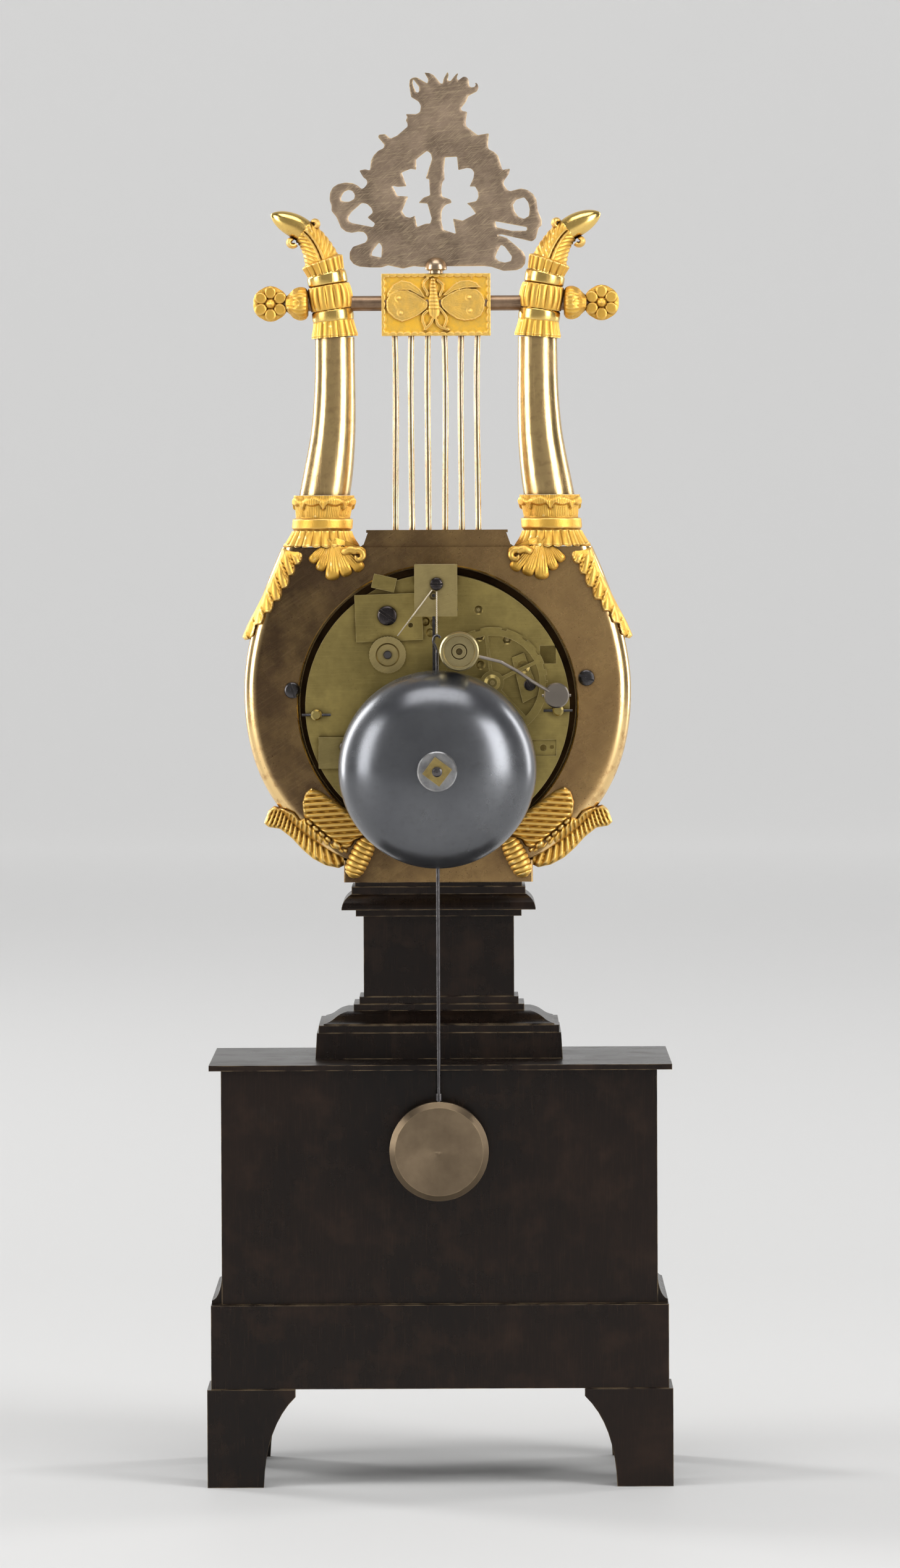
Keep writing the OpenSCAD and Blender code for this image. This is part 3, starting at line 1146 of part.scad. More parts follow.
stand_t = 2.2;
stud_r = 1.6;
crown_y = bell_rim - bell_depth;
stand_y = bell_rim - 4.9;
module bell_stand() {
    color(aged) in_movement() difference() {
        union() {
            standing(back_y - stand_t, stand_t) polygon([[-38.7, -20], [-38.7, -9.8], [-22.4, -9.8],
                [-20.4, -12], [-20.4, -20]]);
            box_at(-24.2, -21.4, stand_y, back_y - stand_t + 1, bell_drop - 2, bell_drop + 3);
            box_at(-24.2, 0, stand_y, stand_y + 2.5, bell_drop - 2, bell_drop + 3);
            turned([[0, stand_y + 2], [3, stand_y + 2], [3, stand_y - 4], [2.6, crown_y + bell_wall],
                [stud_r, crown_y + bell_wall],
                [stud_r, crown_y - stud_out + 0.9], [stud_r*0.7, crown_y - stud_out + 0.2],
                    [0, crown_y - stud_out]], [0, bell_drop], 32);
        }
        for (p = stand_screw_at) rod_y_way(p, back_y - stand_t - 1, back_y + 1, 0.8, 16);
        rod_y_way(going_at, back_y - stand_t - 1, back_y + 1, 1.4, 24);
    }
}
module bell() {
    d = bell_depth;
    w = bell_wall;
    skin = curve([bell_r, bell_rim], [bell_r - 0.6, bell_rim - d*0.78], [bell_r*0.68, bell_rim - d*0.94],
        9);
    crown = curve([bell_r*0.68, bell_rim - d*0.94], [bell_r*0.3, bell_rim - d],
        [stud_r + fit, bell_rim - d], 6);
    lining = curve([stud_r + fit, bell_rim - d + w], [bell_r*0.3, bell_rim - d + w],
        [bell_r*0.66, bell_rim - d*0.94 + w], 6);
    inside = curve([bell_r*0.66, bell_rim - d*0.94 + w], [bell_r - 0.6 - w, bell_rim - d*0.74],
        [bell_r - w, bell_rim], 9);
    color(steel) in_movement() turned(concat(skin, crown, lining, inside), [0, bell_drop], 96);
}
module bell_nut() {
    color(aged) in_movement() {
        turned([[stud_r + fit, crown_y], [6.4, crown_y], [6.4, crown_y - 0.5], [6, crown_y - 0.9],
            [stud_r + fit, crown_y - 0.9]],
            [0, bell_drop], 48);
        translate([0, 0, bell_drop]) standing(crown_y - 4, 3.1) difference() {
            rotate(53) square(6.8, center=true);
            circle(r=stud_r + fit, $fn=32);
        }
    }
}

// Dial side: a ring in front of the lyre body holds the movement, the dial and the hinged bezel
lug_t = 1.6;
knuckle_r = 1.2;
hinge_pin_r = 0.5;
ledge_r = 40.8;
module dial_ring() {
    tube_in = plate_r + 0.3;
    color(gilt) {
        in_movement() difference() {
            union() {
                turned([[tube_in, front_y - 1], [tube_r, front_y - 1], [tube_r, lyre_front],
                    [flange_r, lyre_front], [flange_r, lyre_front + 1],
                    [flange_r - 0.6, lyre_front + 1.4], [tube_in, lyre_front + 1.4],
                        [tube_in, dial_seat], [ledge_r, dial_seat],
                    [ledge_r, dial_seat - 1.2], [tube_in, dial_seat - 1.2]], [0, 0], 128);
                for (p = lug_screw_at) intersection() {
                    translate([p[0], 0, p[1]]) standing(plates_front, lug_t) rotate(heading([0, 0], p))
                        translate([-2.6, -2.6]) square([7, 5.2]);
                    rod_y_way([0, 0], plates_front, plates_front + lug_t, tube_in + 0.8, 96);
                }
            }
            for (p = lug_screw_at) rod_y_way(p, plates_front - 1, plates_front + lug_t + 1, 0.8, 16);
            for (p = case_screw_at) rod_y_way(p, lyre_front - 1, lyre_front + 3, 1.65, 24);
        }
        translate([hinge_x, hinge_y, lyre_mid_z]) {
            cylinder(r=hinge_pin_r, h=12, center=true, $fn=24);
            for (s = [-1, 1]) translate([0, 0, s*4.6]) {
                cylinder(r=knuckle_r, h=3, center=true, $fn=24);
                translate([-2.2, -1.7, 0]) cube([4.4, 1.8, 3], center=true);
            }
        }
    }
}
module dial() {
    color("#efece2") in_movement() difference() {
        turned(concat([[0, dial_seat], [dial_r, dial_seat], [dial_r, dial_seat + dial_t*0.5]],
            curve([dial_r, dial_seat + dial_t*0.6], [dial_r*0.6, dial_seat + dial_t],
                [0, dial_seat + dial_t], 6)), [0, 0], 96);
        rod_y_way([0, 0], dial_seat - 1, dial_seat + 3, 3.3, 48);
        for (p = [going_at, strike_at]) rod_y_way(p, dial_seat - 1, dial_seat + 3, 2.6, 32);
    }
}
m_minute = pair_module(centre_at, polar(post_at, post_angle), cannon_teeth, minute_teeth);
m_hour = pair_module(centre_at, polar(post_at, post_angle), minute_leaves, hour_teeth);
work_y = plates_front + 0.6;
module minute_wheel() {
    post = polar(post_at, post_angle);
    color(gilt) in_movement() difference() {
        translate([post[0], 0, post[1]]) {
            standing(work_y + 0.3, 1) polygon(wheel_ring(minute_teeth, m_minute,
                mesh_turn(0, cannon_teeth, minute_teeth, post_angle)));
            standing(work_y + 1.2, 2.4) polygon(pinion_ring(minute_leaves, m_hour, 0));
        }
        rod_y_way(post, work_y - 1, work_y + 6, post_r + fit);
    }
}
hour_pipe = 2.8;
cannon_pipe = 2;
hour_hand_y = dial_seat + dial_t + 0.7;
function hand_shape(tip, hub, w) = [[0, hub], [-w, hub*0.7], [-w*0.7, tip*0.5], [-w*1.6, tip*0.62],
    [-w*0.8, tip*0.76], [0, tip],
    [w*0.8, tip*0.76], [w*1.6, tip*0.62], [w*0.7, tip*0.5], [w, hub*0.7]];
module hour_wheel() {
    color(gilt) in_movement() difference() {
        union() {
            standing(work_y + 2.1, 1) polygon(wheel_ring(hour_teeth, m_hour,
                mesh_turn(0, minute_leaves, hour_teeth, post_angle + 180)));
            rod_y_way([0, 0], work_y + 1.9, hour_hand_y + 0.6, hour_pipe, 32);
            standing(hour_hand_y, 0.6) {
                circle(r=4.2, $fn=48);
                rotate(-55) polygon(hand_shape(23, 4, 0.9));
            }
        }
        rod_y_way([0, 0], work_y, hour_hand_y + 2, cannon_pipe + fit, 32);
    }
}
module minute_hand() {
    color(bluing) in_movement() difference() {
        union() {
            standing(work_y, 1.5) polygon(pinion_ring(cannon_teeth, m_minute, 0));
            rod_y_way([0, 0], work_y, hand_y + 0.9, cannon_pipe, 32);
            standing(hand_y, 0.5) {
                circle(r=3.2, $fn=48);
                rotate(60) polygon(hand_shape(34, 3, 0.8));
            }
        }
        rod_y_way([0, 0], work_y - 1, hand_y + 2, pipe_r + fit, 24);
    }
}
bezel_y = lyre_front + 1.8;
bezel_h = 4.2;
glass_t = 1.2;
glass_rise = 5;
module bezel() {
    r1 = sight_r + bezel_w;
    color(gilt) {
        in_movement() turned(concat([[sight_r + 1.2, bezel_y], [r1 - 0.4, bezel_y], [r1, bezel_y + 0.6]],
            curve([r1, bezel_y + 1.6], [r1 - 0.8, bezel_y + bezel_h],
                [r1 - bezel_w*0.45, bezel_y + bezel_h], 6),
            [[sight_r + 1.4, bezel_y + bezel_h - 0.8], [sight_r, bezel_y + bezel_h - 1.6],
                [sight_r, bezel_y + 1.4 + glass_t],
            [sight_r + 1.2, bezel_y + 1.4 + glass_t]]), [0, 0], 128);
        translate([0, 0, lyre_mid_z])
            box_at(-sight_r - bezel_w - 1.6, -sight_r - bezel_w + 1, hinge_y - 0.3, hinge_y + 1.1, -2.4,
                2.4);
        translate([hinge_x, hinge_y, lyre_mid_z]) difference() {
            union() {
                cylinder(r=knuckle_r, h=5.6, center=true, $fn=24);
                box_at(sight_r + bezel_w - 1.2 - hinge_x, 0, -0.3, 0.8, -2.6, 2.6);
            }
            cylinder(r=hinge_pin_r + fit, h=8, center=true, $fn=24);
        }
    }
}
module bezel_glass() {
    r = sight_r + 1.15;
    y = bezel_y + 1.4;
    top = y + glass_rise;
    color("#dfe8e8", 0.35) in_movement() turned(concat([[r, y], [r, y + glass_t]],
        curve([r - 2, y + glass_t], [r*0.6, top], [0, top], 8),
        curve([0, top - glass_t], [r*0.58, top - glass_t], [r - 2, y], 8)), [0, 0], 96);
}

bracket_feet();
base_band();
base_box();
box_moulding();
base_cap();
pedestal_foot();
pedestal_die();
pedestal_cap();
lyre_body();
string_yoke();
shoulder_leaves();
lower_leaves();
lower_collars();
horns();
upper_collars();
crossbar();
rosettes();
plaque();
strings();
cresting();
cresting_nut();
case_screws();
front_plate();
back_plate();
pillars();
pillar_pins();
going_arbor();
going_barrel();
intermediate_wheel();
centre_wheel();
third_wheel();
escape_wheel();
pallet_anchor();
strike_arbor();
strike_barrel();
second_wheel();
count_wheel();
pin_wheel();
locking_wheel();
warning_wheel();
fly();
suspension_block();
plate_cocks();
plate_screws();
silk_drop();
silk_tail();
silk_wheel();
pendulum_rod();
pendulum_bob();
hammer();
bell_stand();
bell();
bell_nut();
dial_ring();
dial();
minute_wheel();
hour_wheel();
minute_hand();
bezel();
bezel_glass();
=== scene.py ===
# Lyre mantel clock, rear view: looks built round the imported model
import bmesh
import bpy
import math
import numpy as np
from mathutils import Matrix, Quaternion, Vector
from mathutils.geometry import delaunay_2d_cdt


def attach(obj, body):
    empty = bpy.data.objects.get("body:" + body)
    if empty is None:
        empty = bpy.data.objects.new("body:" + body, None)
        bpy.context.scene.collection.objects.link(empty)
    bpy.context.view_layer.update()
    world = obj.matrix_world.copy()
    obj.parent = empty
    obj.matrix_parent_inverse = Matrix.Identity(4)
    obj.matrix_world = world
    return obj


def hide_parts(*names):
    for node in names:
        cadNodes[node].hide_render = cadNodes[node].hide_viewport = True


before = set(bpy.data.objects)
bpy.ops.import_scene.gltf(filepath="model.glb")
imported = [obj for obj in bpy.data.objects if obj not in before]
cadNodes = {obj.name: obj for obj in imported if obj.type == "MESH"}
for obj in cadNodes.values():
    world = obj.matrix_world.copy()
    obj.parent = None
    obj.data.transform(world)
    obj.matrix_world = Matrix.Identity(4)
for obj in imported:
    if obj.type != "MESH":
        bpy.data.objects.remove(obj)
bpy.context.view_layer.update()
print("frame loaded:", len(cadNodes), "nodes")

mm = 0.001
# the casting: the height of its opening's middle, its rear and front faces, its middle and its rounded edge
lyre = {"midZ": 252.1, "rear": 16.25, "front": 38.25, "midY": 27.25, "edge": 5.0}


def feed(tree, socket, value):
    # a socket takes another node's output, a colour or a plain value
    if isinstance(value, bpy.types.NodeSocket):
        tree.links.new(value, socket)
    else:
        socket.default_value = (*value, 1.0) if socket.type == "RGBA" else value


def addNode(tree, kind, **settings):
    node = tree.nodes.new(kind)
    for key, value in settings.items():
        if hasattr(node, key):
            setattr(node, key, value)
        else:
            feed(tree, node.inputs[key.replace("_", " ")], value)
    return node


def newGroup(name, given, made):
    # inputs come with their starting values, and a tuple is a vector
    group = bpy.data.node_groups.new(name, "ShaderNodeTree")
    for label, value in given.items():
        kind = "NodeSocketVector" if isinstance(value, tuple) else "NodeSocketFloat"
        group.interface.new_socket(name=label, in_out="INPUT", socket_type=kind).default_value = value
    for label in made:
        group.interface.new_socket(name=label, in_out="OUTPUT", socket_type="NodeSocketFloat")
    return group, group.nodes.new("NodeGroupInput").outputs, group.nodes.new("NodeGroupOutput").inputs


def objectCoords(tree):
    return addNode(tree, "ShaderNodeTexCoord").outputs["Object"]


def split(tree, vector):
    return addNode(tree, "ShaderNodeSeparateXYZ", Vector=vector).outputs


def noise(tree, scale, detail=2, roughness=0.5, vector=None):
    node = addNode(tree, "ShaderNodeTexNoise", Scale=scale, Detail=detail, Roughness=roughness)
    feed(tree, node.inputs["Vector"], vector or objectCoords(tree))
    return node.outputs["Fac"]


def ramp(tree, value, low, high, a=0.0, b=1.0):
    node = addNode(tree, "ShaderNodeMapRange", Value=value, From_Min=low, From_Max=high, To_Min=a, To_Max=b)
    return node.outputs["Result"]


def blend(tree, mask, a, b):
    node = addNode(tree, "ShaderNodeMix", data_type="RGBA")
    for socket, value in ((0, mask), (6, a), (7, b)):
        feed(tree, node.inputs[socket], value)
    return node.outputs[2]


def sums(tree, operation, a, b=0, kind="ShaderNodeMath"):
    node = addNode(tree, kind, operation=operation)
    feed(tree, node.inputs[0], a)
    feed(tree, node.inputs[1], b)
    return node.outputs


def times(tree, a, b):
    return sums(tree, "MULTIPLY", a, b)[0]


def buildBlotches():
    # soft patches of tone, large and small
    group, given, made = newGroup("softBlotches", {"Scale": 40.0, "Low": 0.4, "High": 0.65}, ["Mask"])
    cloud = noise(group, given["Scale"], 7, 0.62)
    feed(group, made["Mask"], ramp(group, cloud, given["Low"], given["High"]))
    return group


def buildEdgeWear():
    # rubbed edges: where the rounded normal leaves the flat one
    group, given, made = newGroup("rubbedEdges", {"Width": 0.0006, "Break": 220.0}, ["Mask"])
    rounded = addNode(group, "ShaderNodeBevel", samples=6, Radius=given["Width"]).outputs["Normal"]
    flat = addNode(group, "ShaderNodeNewGeometry").outputs["Normal"]
    match = sums(group, "DOT_PRODUCT", rounded, flat, "ShaderNodeVectorMath")["Value"]
    broken = ramp(group, noise(group, given["Break"]), 0.35, 0.6)
    feed(group, made["Mask"], times(group, ramp(group, match, 0.995, 0.86), broken))
    return group


def buildScratches():
    # fine random scratches along one direction
    given = {"Turn": (0, 0, 0), "Stretch": (1, 1, 40), "Scale": 60.0, "Amount": 0.5}
    group, given, made = newGroup("fineScratches", given, ["Mask", "Height"])
    turned = addNode(group, "ShaderNodeVectorRotate", rotation_type="EULER_XYZ", Vector=objectCoords(group),
                     Rotation=given["Turn"]).outputs["Vector"]
    drawn = sums(group, "MULTIPLY", turned, given["Stretch"], "ShaderNodeVectorMath")["Vector"]
    lines = noise(group, given["Scale"], 4, 0.7, drawn)
    feed(group, made["Mask"], times(group, ramp(group, lines, 0.52, 0.68), given["Amount"]))
    feed(group, made["Height"], lines)
    return group


def buildPits():
    # small dark spots and pores
    group, given, made = newGroup("smallPits", {"Scale": 400.0, "Size": 0.2}, ["Mask"])
    cells = addNode(group, "ShaderNodeTexVoronoi", Vector=objectCoords(group), Scale=given["Scale"])
    pit = sums(group, "LESS_THAN", cells.outputs["Distance"], given["Size"])[0]
    feed(group, made["Mask"], times(group, pit, ramp(group, noise(group, 70), 0.5, 0.62)))
    return group


def buildHollows():
    # painted shade in the deep parts of the modelling, from ambient occlusion, and the ridges that are rubbed
    # bright
    given = {"Reach": 0.002, "Ridge Start": 0.51, "Ridge End": 0.58}
    group, given, made = newGroup("reliefShadeAndWear", given, ["Hollow", "Ridge"])
    shade = addNode(group, "ShaderNodeAmbientOcclusion", samples=8, Distance=given["Reach"]).outputs["AO"]
    broken = ramp(group, noise(group, 300), 0.2, 0.5, 0.55, 1.0)
    feed(group, made["Hollow"], times(group, ramp(group, shade, 0.92, 0.38), broken))
    point = addNode(group, "ShaderNodeNewGeometry").outputs["Pointiness"]
    feed(group, made["Ridge"], ramp(group, point, given["Ridge Start"], given["Ridge End"]))
    return group


def buildSpot():
    # a round area about an axis that runs front to back, given in metres
    group, given, made = newGroup("roundSpot", {"X": 0.0, "Z": 0.0, "Radius": 0.002}, ["Mask"])
    place = split(group, objectCoords(group))
    squares = []
    for axis in ("X", "Z"):
        away = sums(group, "SUBTRACT", place[axis], given[axis])[0]
        squares.append(times(group, away, away))
    reach = sums(group, "SQRT", sums(group, "ADD", *squares)[0])[0]
    feed(group, made["Mask"], sums(group, "LESS_THAN", reach, given["Radius"])[0])
    return group


blotches = buildBlotches()
roundSpot = buildSpot()
rubbedEdges = buildEdgeWear()
scratches = buildScratches()
pits = buildPits()
reliefShadeAndWear = buildHollows()


class Look:
    # one finish in the making: its nodes, its shader and the colour laid so far
    def __init__(self, name, **shader):
        self.material = bpy.data.materials.new(name)
        self.material.use_nodes = True
        self.tree = self.material.node_tree
        self.surface = self.tree.nodes["Principled BSDF"]
        self.base = None
        self.give(**shader)

    def give(self, **shader):
        for key, value in shader.items():
            feed(self.tree, self.surface.inputs[key.replace("_", " ")], value)

    def effect(self, group, **values):
        return addNode(self.tree, "ShaderNodeGroup", node_tree=group, **values).outputs

    def patches(self, scale, low, high):
        return self.effect(blotches, Scale=scale, Low=low, High=high)["Mask"]

    def specks(self, scale, size):
        return self.effect(pits, Scale=scale, Size=size)["Mask"]

    def edges(self, width, broken):
        return self.effect(rubbedEdges, Width=width, Break=broken)["Mask"]

    def strokes(self, scale, amount, stretch, turn=0.0):
        made = self.effect(scratches, Turn=(0, turn, 0), Stretch=stretch, Scale=scale, Amount=amount)
        return made["Mask"], made["Height"]

    # the painted shade of the hollows and the rubbed ridges
    def modelling(self, reach, ridgeStart=0.51):
        made = self.effect(reliefShadeAndWear, Reach=reach, Ridge_Start=ridgeStart)
        return made["Hollow"], made["Ridge"]

    def place(self):
        return split(self.tree, objectCoords(self.tree))

    def between(self, mask, low, high):
        return ramp(self.tree, mask, 0, 1, low, high)

    def rise(self, mask, low, high, other, share, operation="ADD"):
        # a value that follows one mask, and another mask's share on top of it
        return sums(self.tree, operation, self.between(mask, low, high), times(self.tree, other, share))[0]

    def start(self, mask, a, b):
        self.base = blend(self.tree, mask, a, b)

    def lay(self, mask, colour, share=None):
        # a colour over the base, as far as the mask says
        mask = mask if share is None else times(self.tree, mask, share)
        self.base = blend(self.tree, mask, self.base, colour)

    def done(self, rough, height=None, strength=0.0, depth=0.0):
        self.give(Roughness=rough)
        if self.base:
            self.give(Base_Color=self.base)
        if height:
            bump = addNode(self.tree, "ShaderNodeBump", Strength=strength, Distance=depth, Height=height)
            self.give(Normal=bump.outputs["Normal"])
        return self.material


def shaded(colour, share):
    return tuple(share*c for c in colour)


def matteGilt():
    # satin gilding, yellow, with painted brown shade in the hollows, and rubbed pale on the ridges
    tone = {"gold": (0.80, 0.48, 0.09), "warm": (0.70, 0.385, 0.06), "deep": (0.16, 0.068, 0.012),
            "bright": (0.93, 0.66, 0.24)}
    look = Look("matteGilt", Metallic=0.85)
    hollowShade, ridge = look.modelling(0.0018, 0.508)
    look.start(look.patches(110.0, 0.35, 0.7), tone["gold"], tone["warm"])
    look.lay(ridge, tone["bright"])
    # painted shade in the hollows, in the deep brown
    look.lay(hollowShade, tone["deep"])
    rough = look.rise(hollowShade, 0.44, 0.62, ridge, 0.14, "SUBTRACT")
    return look.done(rough, noise(look.tree, 2600, 3), 0.4, 0.0002)


def ringGilt():
    # the ring that holds the dial: gilt at the front, and painted dark shade down its tube
    tone = {"gold": (0.80, 0.58, 0.27), "worn": (0.60, 0.40, 0.16), "dark": (0.030, 0.018, 0.010),
            "paintedShade": (0.075, 0.045, 0.022)}
    look = Look("ringGilt", Metallic=1.0)
    front = ramp(look.tree, look.place()["Y"], 36.0*mm, 37.2*mm)
    patch = look.patches(80.0, 0.4, 0.7)
    # the tube is painted near-black as shade
    tube = blend(look.tree, patch, tone["dark"], tone["paintedShade"])
    look.start(front, tube, blend(look.tree, patch, tone["gold"], tone["worn"]))
    return look.done(look.between(front, 0.5, 0.25))


def plaqueGilt():
    # yellow punched ground, paler rubbed figures
    tone = {"ground": (0.90, 0.53, 0.055), "figure": (0.84, 0.51, 0.10), "stain": (0.52, 0.35, 0.12),
            "worn": (0.92, 0.66, 0.24), "deep": (0.14, 0.065, 0.012)}
    look = Look("plaqueGilt", Metallic=0.75)
    raised = ramp(look.tree, look.place()["Y"], 24.97*mm, 24.8*mm)
    hollowShade, ridge = look.modelling(0.0009, 0.505)
    look.start(raised, tone["ground"], tone["figure"])
    look.lay(look.patches(300.0, 0.4, 0.66), tone["stain"], 0.5)
    look.lay(ridge, tone["worn"])
    # painted shade in the hollows
    look.lay(hollowShade, tone["deep"])
    return look.done(look.between(raised, 0.58, 0.5), noise(look.tree, 3500), 0.3, 0.00015)


def numeralInk():
    look = Look("numeralInk")
    look.start(look.patches(700.0, 0.45, 0.8), (0.012, 0.011, 0.012), (0.05, 0.045, 0.045))
    return look.done(0.3)


def burnishedGilt(name, gold, worn, cloudy):
    # polished gilding gone soft and cloudy, warmer where it has worn
    tone = {"brown": (0.32, 0.19, 0.085), "paintedShade": (0.12, 0.06, 0.025)}
    look = Look(name, Metallic=1.0)
    wear = look.patches(48.0, 0.42, 0.7)
    lines, grain = look.strokes(40.0, 0.6, (30, 30, 1))
    look.start(wear, gold, worn)
    look.lay(look.patches(380.0, 0.5, 0.72), tone["brown"], cloudy)
    # painted shade in the hollows, from ambient occlusion
    look.lay(look.modelling(0.0025)[0], tone["paintedShade"])
    return look.done(look.rise(wear, 0.18, 0.32, lines, 0.12), grain, 0.08, 0.0003)


def lyreBack():
    # worn gilding, clouded brown on the flat back; a painted highlight on the rounded rim and painted shade
    # towards the left
    tone = {"leftDark": (0.085, 0.052, 0.030), "left": (0.21, 0.13, 0.066), "right": (0.32, 0.19, 0.085),
            "rightPale": (0.62, 0.40, 0.17), "gold": (0.78, 0.51, 0.20), "rim": (0.88, 0.62, 0.29),
            "rimDull": (0.60, 0.37, 0.16), "spot": (0.08, 0.04, 0.02)}
    look = Look("lyreBack", Metallic=1.0)
    tree = look.tree
    facing = split(tree, addNode(tree, "ShaderNodeNewGeometry").outputs["Normal"])
    flat = ramp(tree, sums(tree, "ABSOLUTE", facing["Y"])[0], 0.90, 0.99)
    place = look.place()
    cloud = look.patches(20.0, 0.3, 0.72)
    patch = look.patches(60.0, 0.42, 0.75)
    fine = look.patches(260.0, 0.48, 0.66)
    # darker at the left and paler at the right, across x: painted shade on the left
    left = blend(tree, cloud, tone["leftDark"], tone["left"])
    right = blend(tree, cloud, tone["right"], tone["rightPale"])
    look.start(ramp(tree, place["X"], -25*mm, 35*mm), left, right)
    look.lay(patch, tone["gold"], 0.35)
    look.lay(fine, tone["leftDark"], 0.3)
    # the rounded rim, where the normal turns away from the back, is painted bright as a painted highlight;
    # the foot is left out
    foot = ramp(tree, place["Z"], 205*mm, 200*mm)
    rim = blend(tree, fine, tone["rim"], tone["rimDull"])
    look.start(sums(tree, "MAXIMUM", flat, foot)[0], rim, look.base)
    look.lay(look.specks(900.0, 0.13), tone["spot"])
    look.lay(look.strokes(60.0, 0.7, (1, 1, 26), 0.6)[0], tone["rim"], 0.10)
    # painted shade in the hollows, in the spot colour
    look.lay(look.modelling(0.003)[0], tone["spot"], 0.7)
    return look.done(look.rise(flat, 0.18, 0.24, fine, 0.12), patch, 0.06, 0.0003)


def filedBrass():
    # bare brown brass, dull, with crossing file strokes that catch the light
    tone = {"dark": (0.20, 0.145, 0.105), "brown": (0.44, 0.325, 0.235), "stroke": (0.68, 0.53, 0.34),
            "edge": (0.74, 0.56, 0.30)}
    passes = ((40, 26, 190.0, 0.75), (-60, 34, 150.0, 0.2), (8, 22, 170.0, 0.5))  # turn, length, scale, share
    look = Look("filedBrass", Metallic=1.0)
    look.start(look.patches(75.0, 0.35, 0.68), tone["dark"], tone["brown"])
    height = None
    for turn, length, scale, share in passes:
        mask, grain = look.strokes(scale, 1.0, (1, 1, length), math.radians(turn))
        look.lay(mask, tone["stroke"], share)
        height = sums(look.tree, "ADD", height, grain)[0] if height else grain
    look.lay(look.edges(0.0007, 150.0), tone["edge"])
    return look.done(0.38, height, 0.25, 0.0003)


def dullBar():
    # the crossbar: brown oxidised rod
    tone = {"dark": (0.20, 0.13, 0.085), "brown": (0.34, 0.23, 0.15), "line": (0.44, 0.31, 0.19)}
    look = Look("dullBar", Metallic=1.0)
    lines, grain = look.strokes(50.0, 0.5, (1, 30, 30))
    look.start(look.patches(120.0, 0.4, 0.66), tone["dark"], tone["brown"])
    look.lay(lines, tone["line"])
    return look.done(0.42, grain, 0.2, 0.0002)


def agedBrass(name, grainTurn, yellow, brown, arbor=None, armFrom=None):
    # plate and wheel brass: hazed and spotted, bright on its rubbed edges
    tone = {"spot": (0.16, 0.10, 0.04), "edge": (0.82, 0.66, 0.32), "paintedShade": (0.07, 0.045, 0.018),
            "arbor": (0.13, 0.12, 0.12), "arm": (0.27, 0.235, 0.20)}
    look = Look(name, Metallic=1.0)
    patch = look.patches(34.0, 0.38, 0.64)
    lines, grain = look.strokes(110.0, 0.6, (1, 1, 34), grainTurn)
    look.start(patch, yellow, brown)
    look.lay(look.patches(150.0, 0.42, 0.7), shaded(brown, 0.55), 0.35)
    look.lay(lines, shaded(yellow, 1.3), 0.35)
    look.lay(look.specks(1100.0, 0.12), tone["spot"], 0.7)
    look.lay(look.edges(0.0003, 300.0), tone["edge"], 0.8)
    # painted shade in the hollows and between parts
    look.lay(look.modelling(0.0025)[0], tone["paintedShade"], 0.85)
    if arbor:
        # a steel arbor that shows in the middle of the brass
        x, z, radius = shaded(arbor, mm)
        look.lay(look.effect(roundSpot, X=x, Z=z, Radius=radius)["Mask"], tone["arbor"])
    if armFrom:
        # the hammer's arm and hub are steel, to the right of its brass head
        look.lay(ramp(look.tree, look.place()["X"], armFrom*mm, (armFrom + 0.4)*mm), tone["arm"])
    return look.done(look.between(patch, 0.28, 0.4), grain, 0.1, 0.0002)


def darkSteel(name, tone, sheen, rough):
    look = Look(name, Metallic=1.0)
    patch = look.patches(260.0, 0.4, 0.65)
    look.start(patch, tone, shaded(tone, 0.6))
    look.lay(look.edges(0.0002, 400.0), sheen)
    return look.done(look.between(patch, rough, rough + 0.15))


def bellMetal():
    # blue-grey bronze, turned smooth, with fine pale specks
    tone = {"dark": (0.105, 0.108, 0.118), "pale": (0.145, 0.149, 0.158), "stain": (0.085, 0.085, 0.087),
            "speck": (0.45, 0.44, 0.42)}
    look = Look("bellMetal", Metallic=0.78)
    patch = look.patches(36.0, 0.35, 0.7)
    look.start(patch, tone["dark"], tone["pale"])
    look.lay(look.patches(520.0, 0.52, 0.7), tone["stain"], 0.3)
    look.lay(look.specks(330.0, 0.045), tone["speck"], 0.25)
    return look.done(look.between(patch, 0.22, 0.3))


def bellNutMetal():
    # steel washer against the bell, brass nut behind it
    tone = {"brass": (0.56, 0.42, 0.16), "brassDark": (0.34, 0.25, 0.10), "steel": (0.46, 0.46, 0.47),
            "steelDark": (0.26, 0.26, 0.27), "edge": (0.75, 0.62, 0.38)}
    look = Look("bellNutMetal", Metallic=1.0)
    washer = ramp(look.tree, look.place()["Y"], -55.25*mm, -55.15*mm)
    patch = look.patches(260.0, 0.4, 0.7)
    brass = blend(look.tree, patch, tone["brass"], tone["brassDark"])
    look.start(washer, brass, blend(look.tree, patch, tone["steel"], tone["steelDark"]))
    look.lay(look.edges(0.0003, 300.0), tone["edge"], 0.6)
    return look.done(0.28)


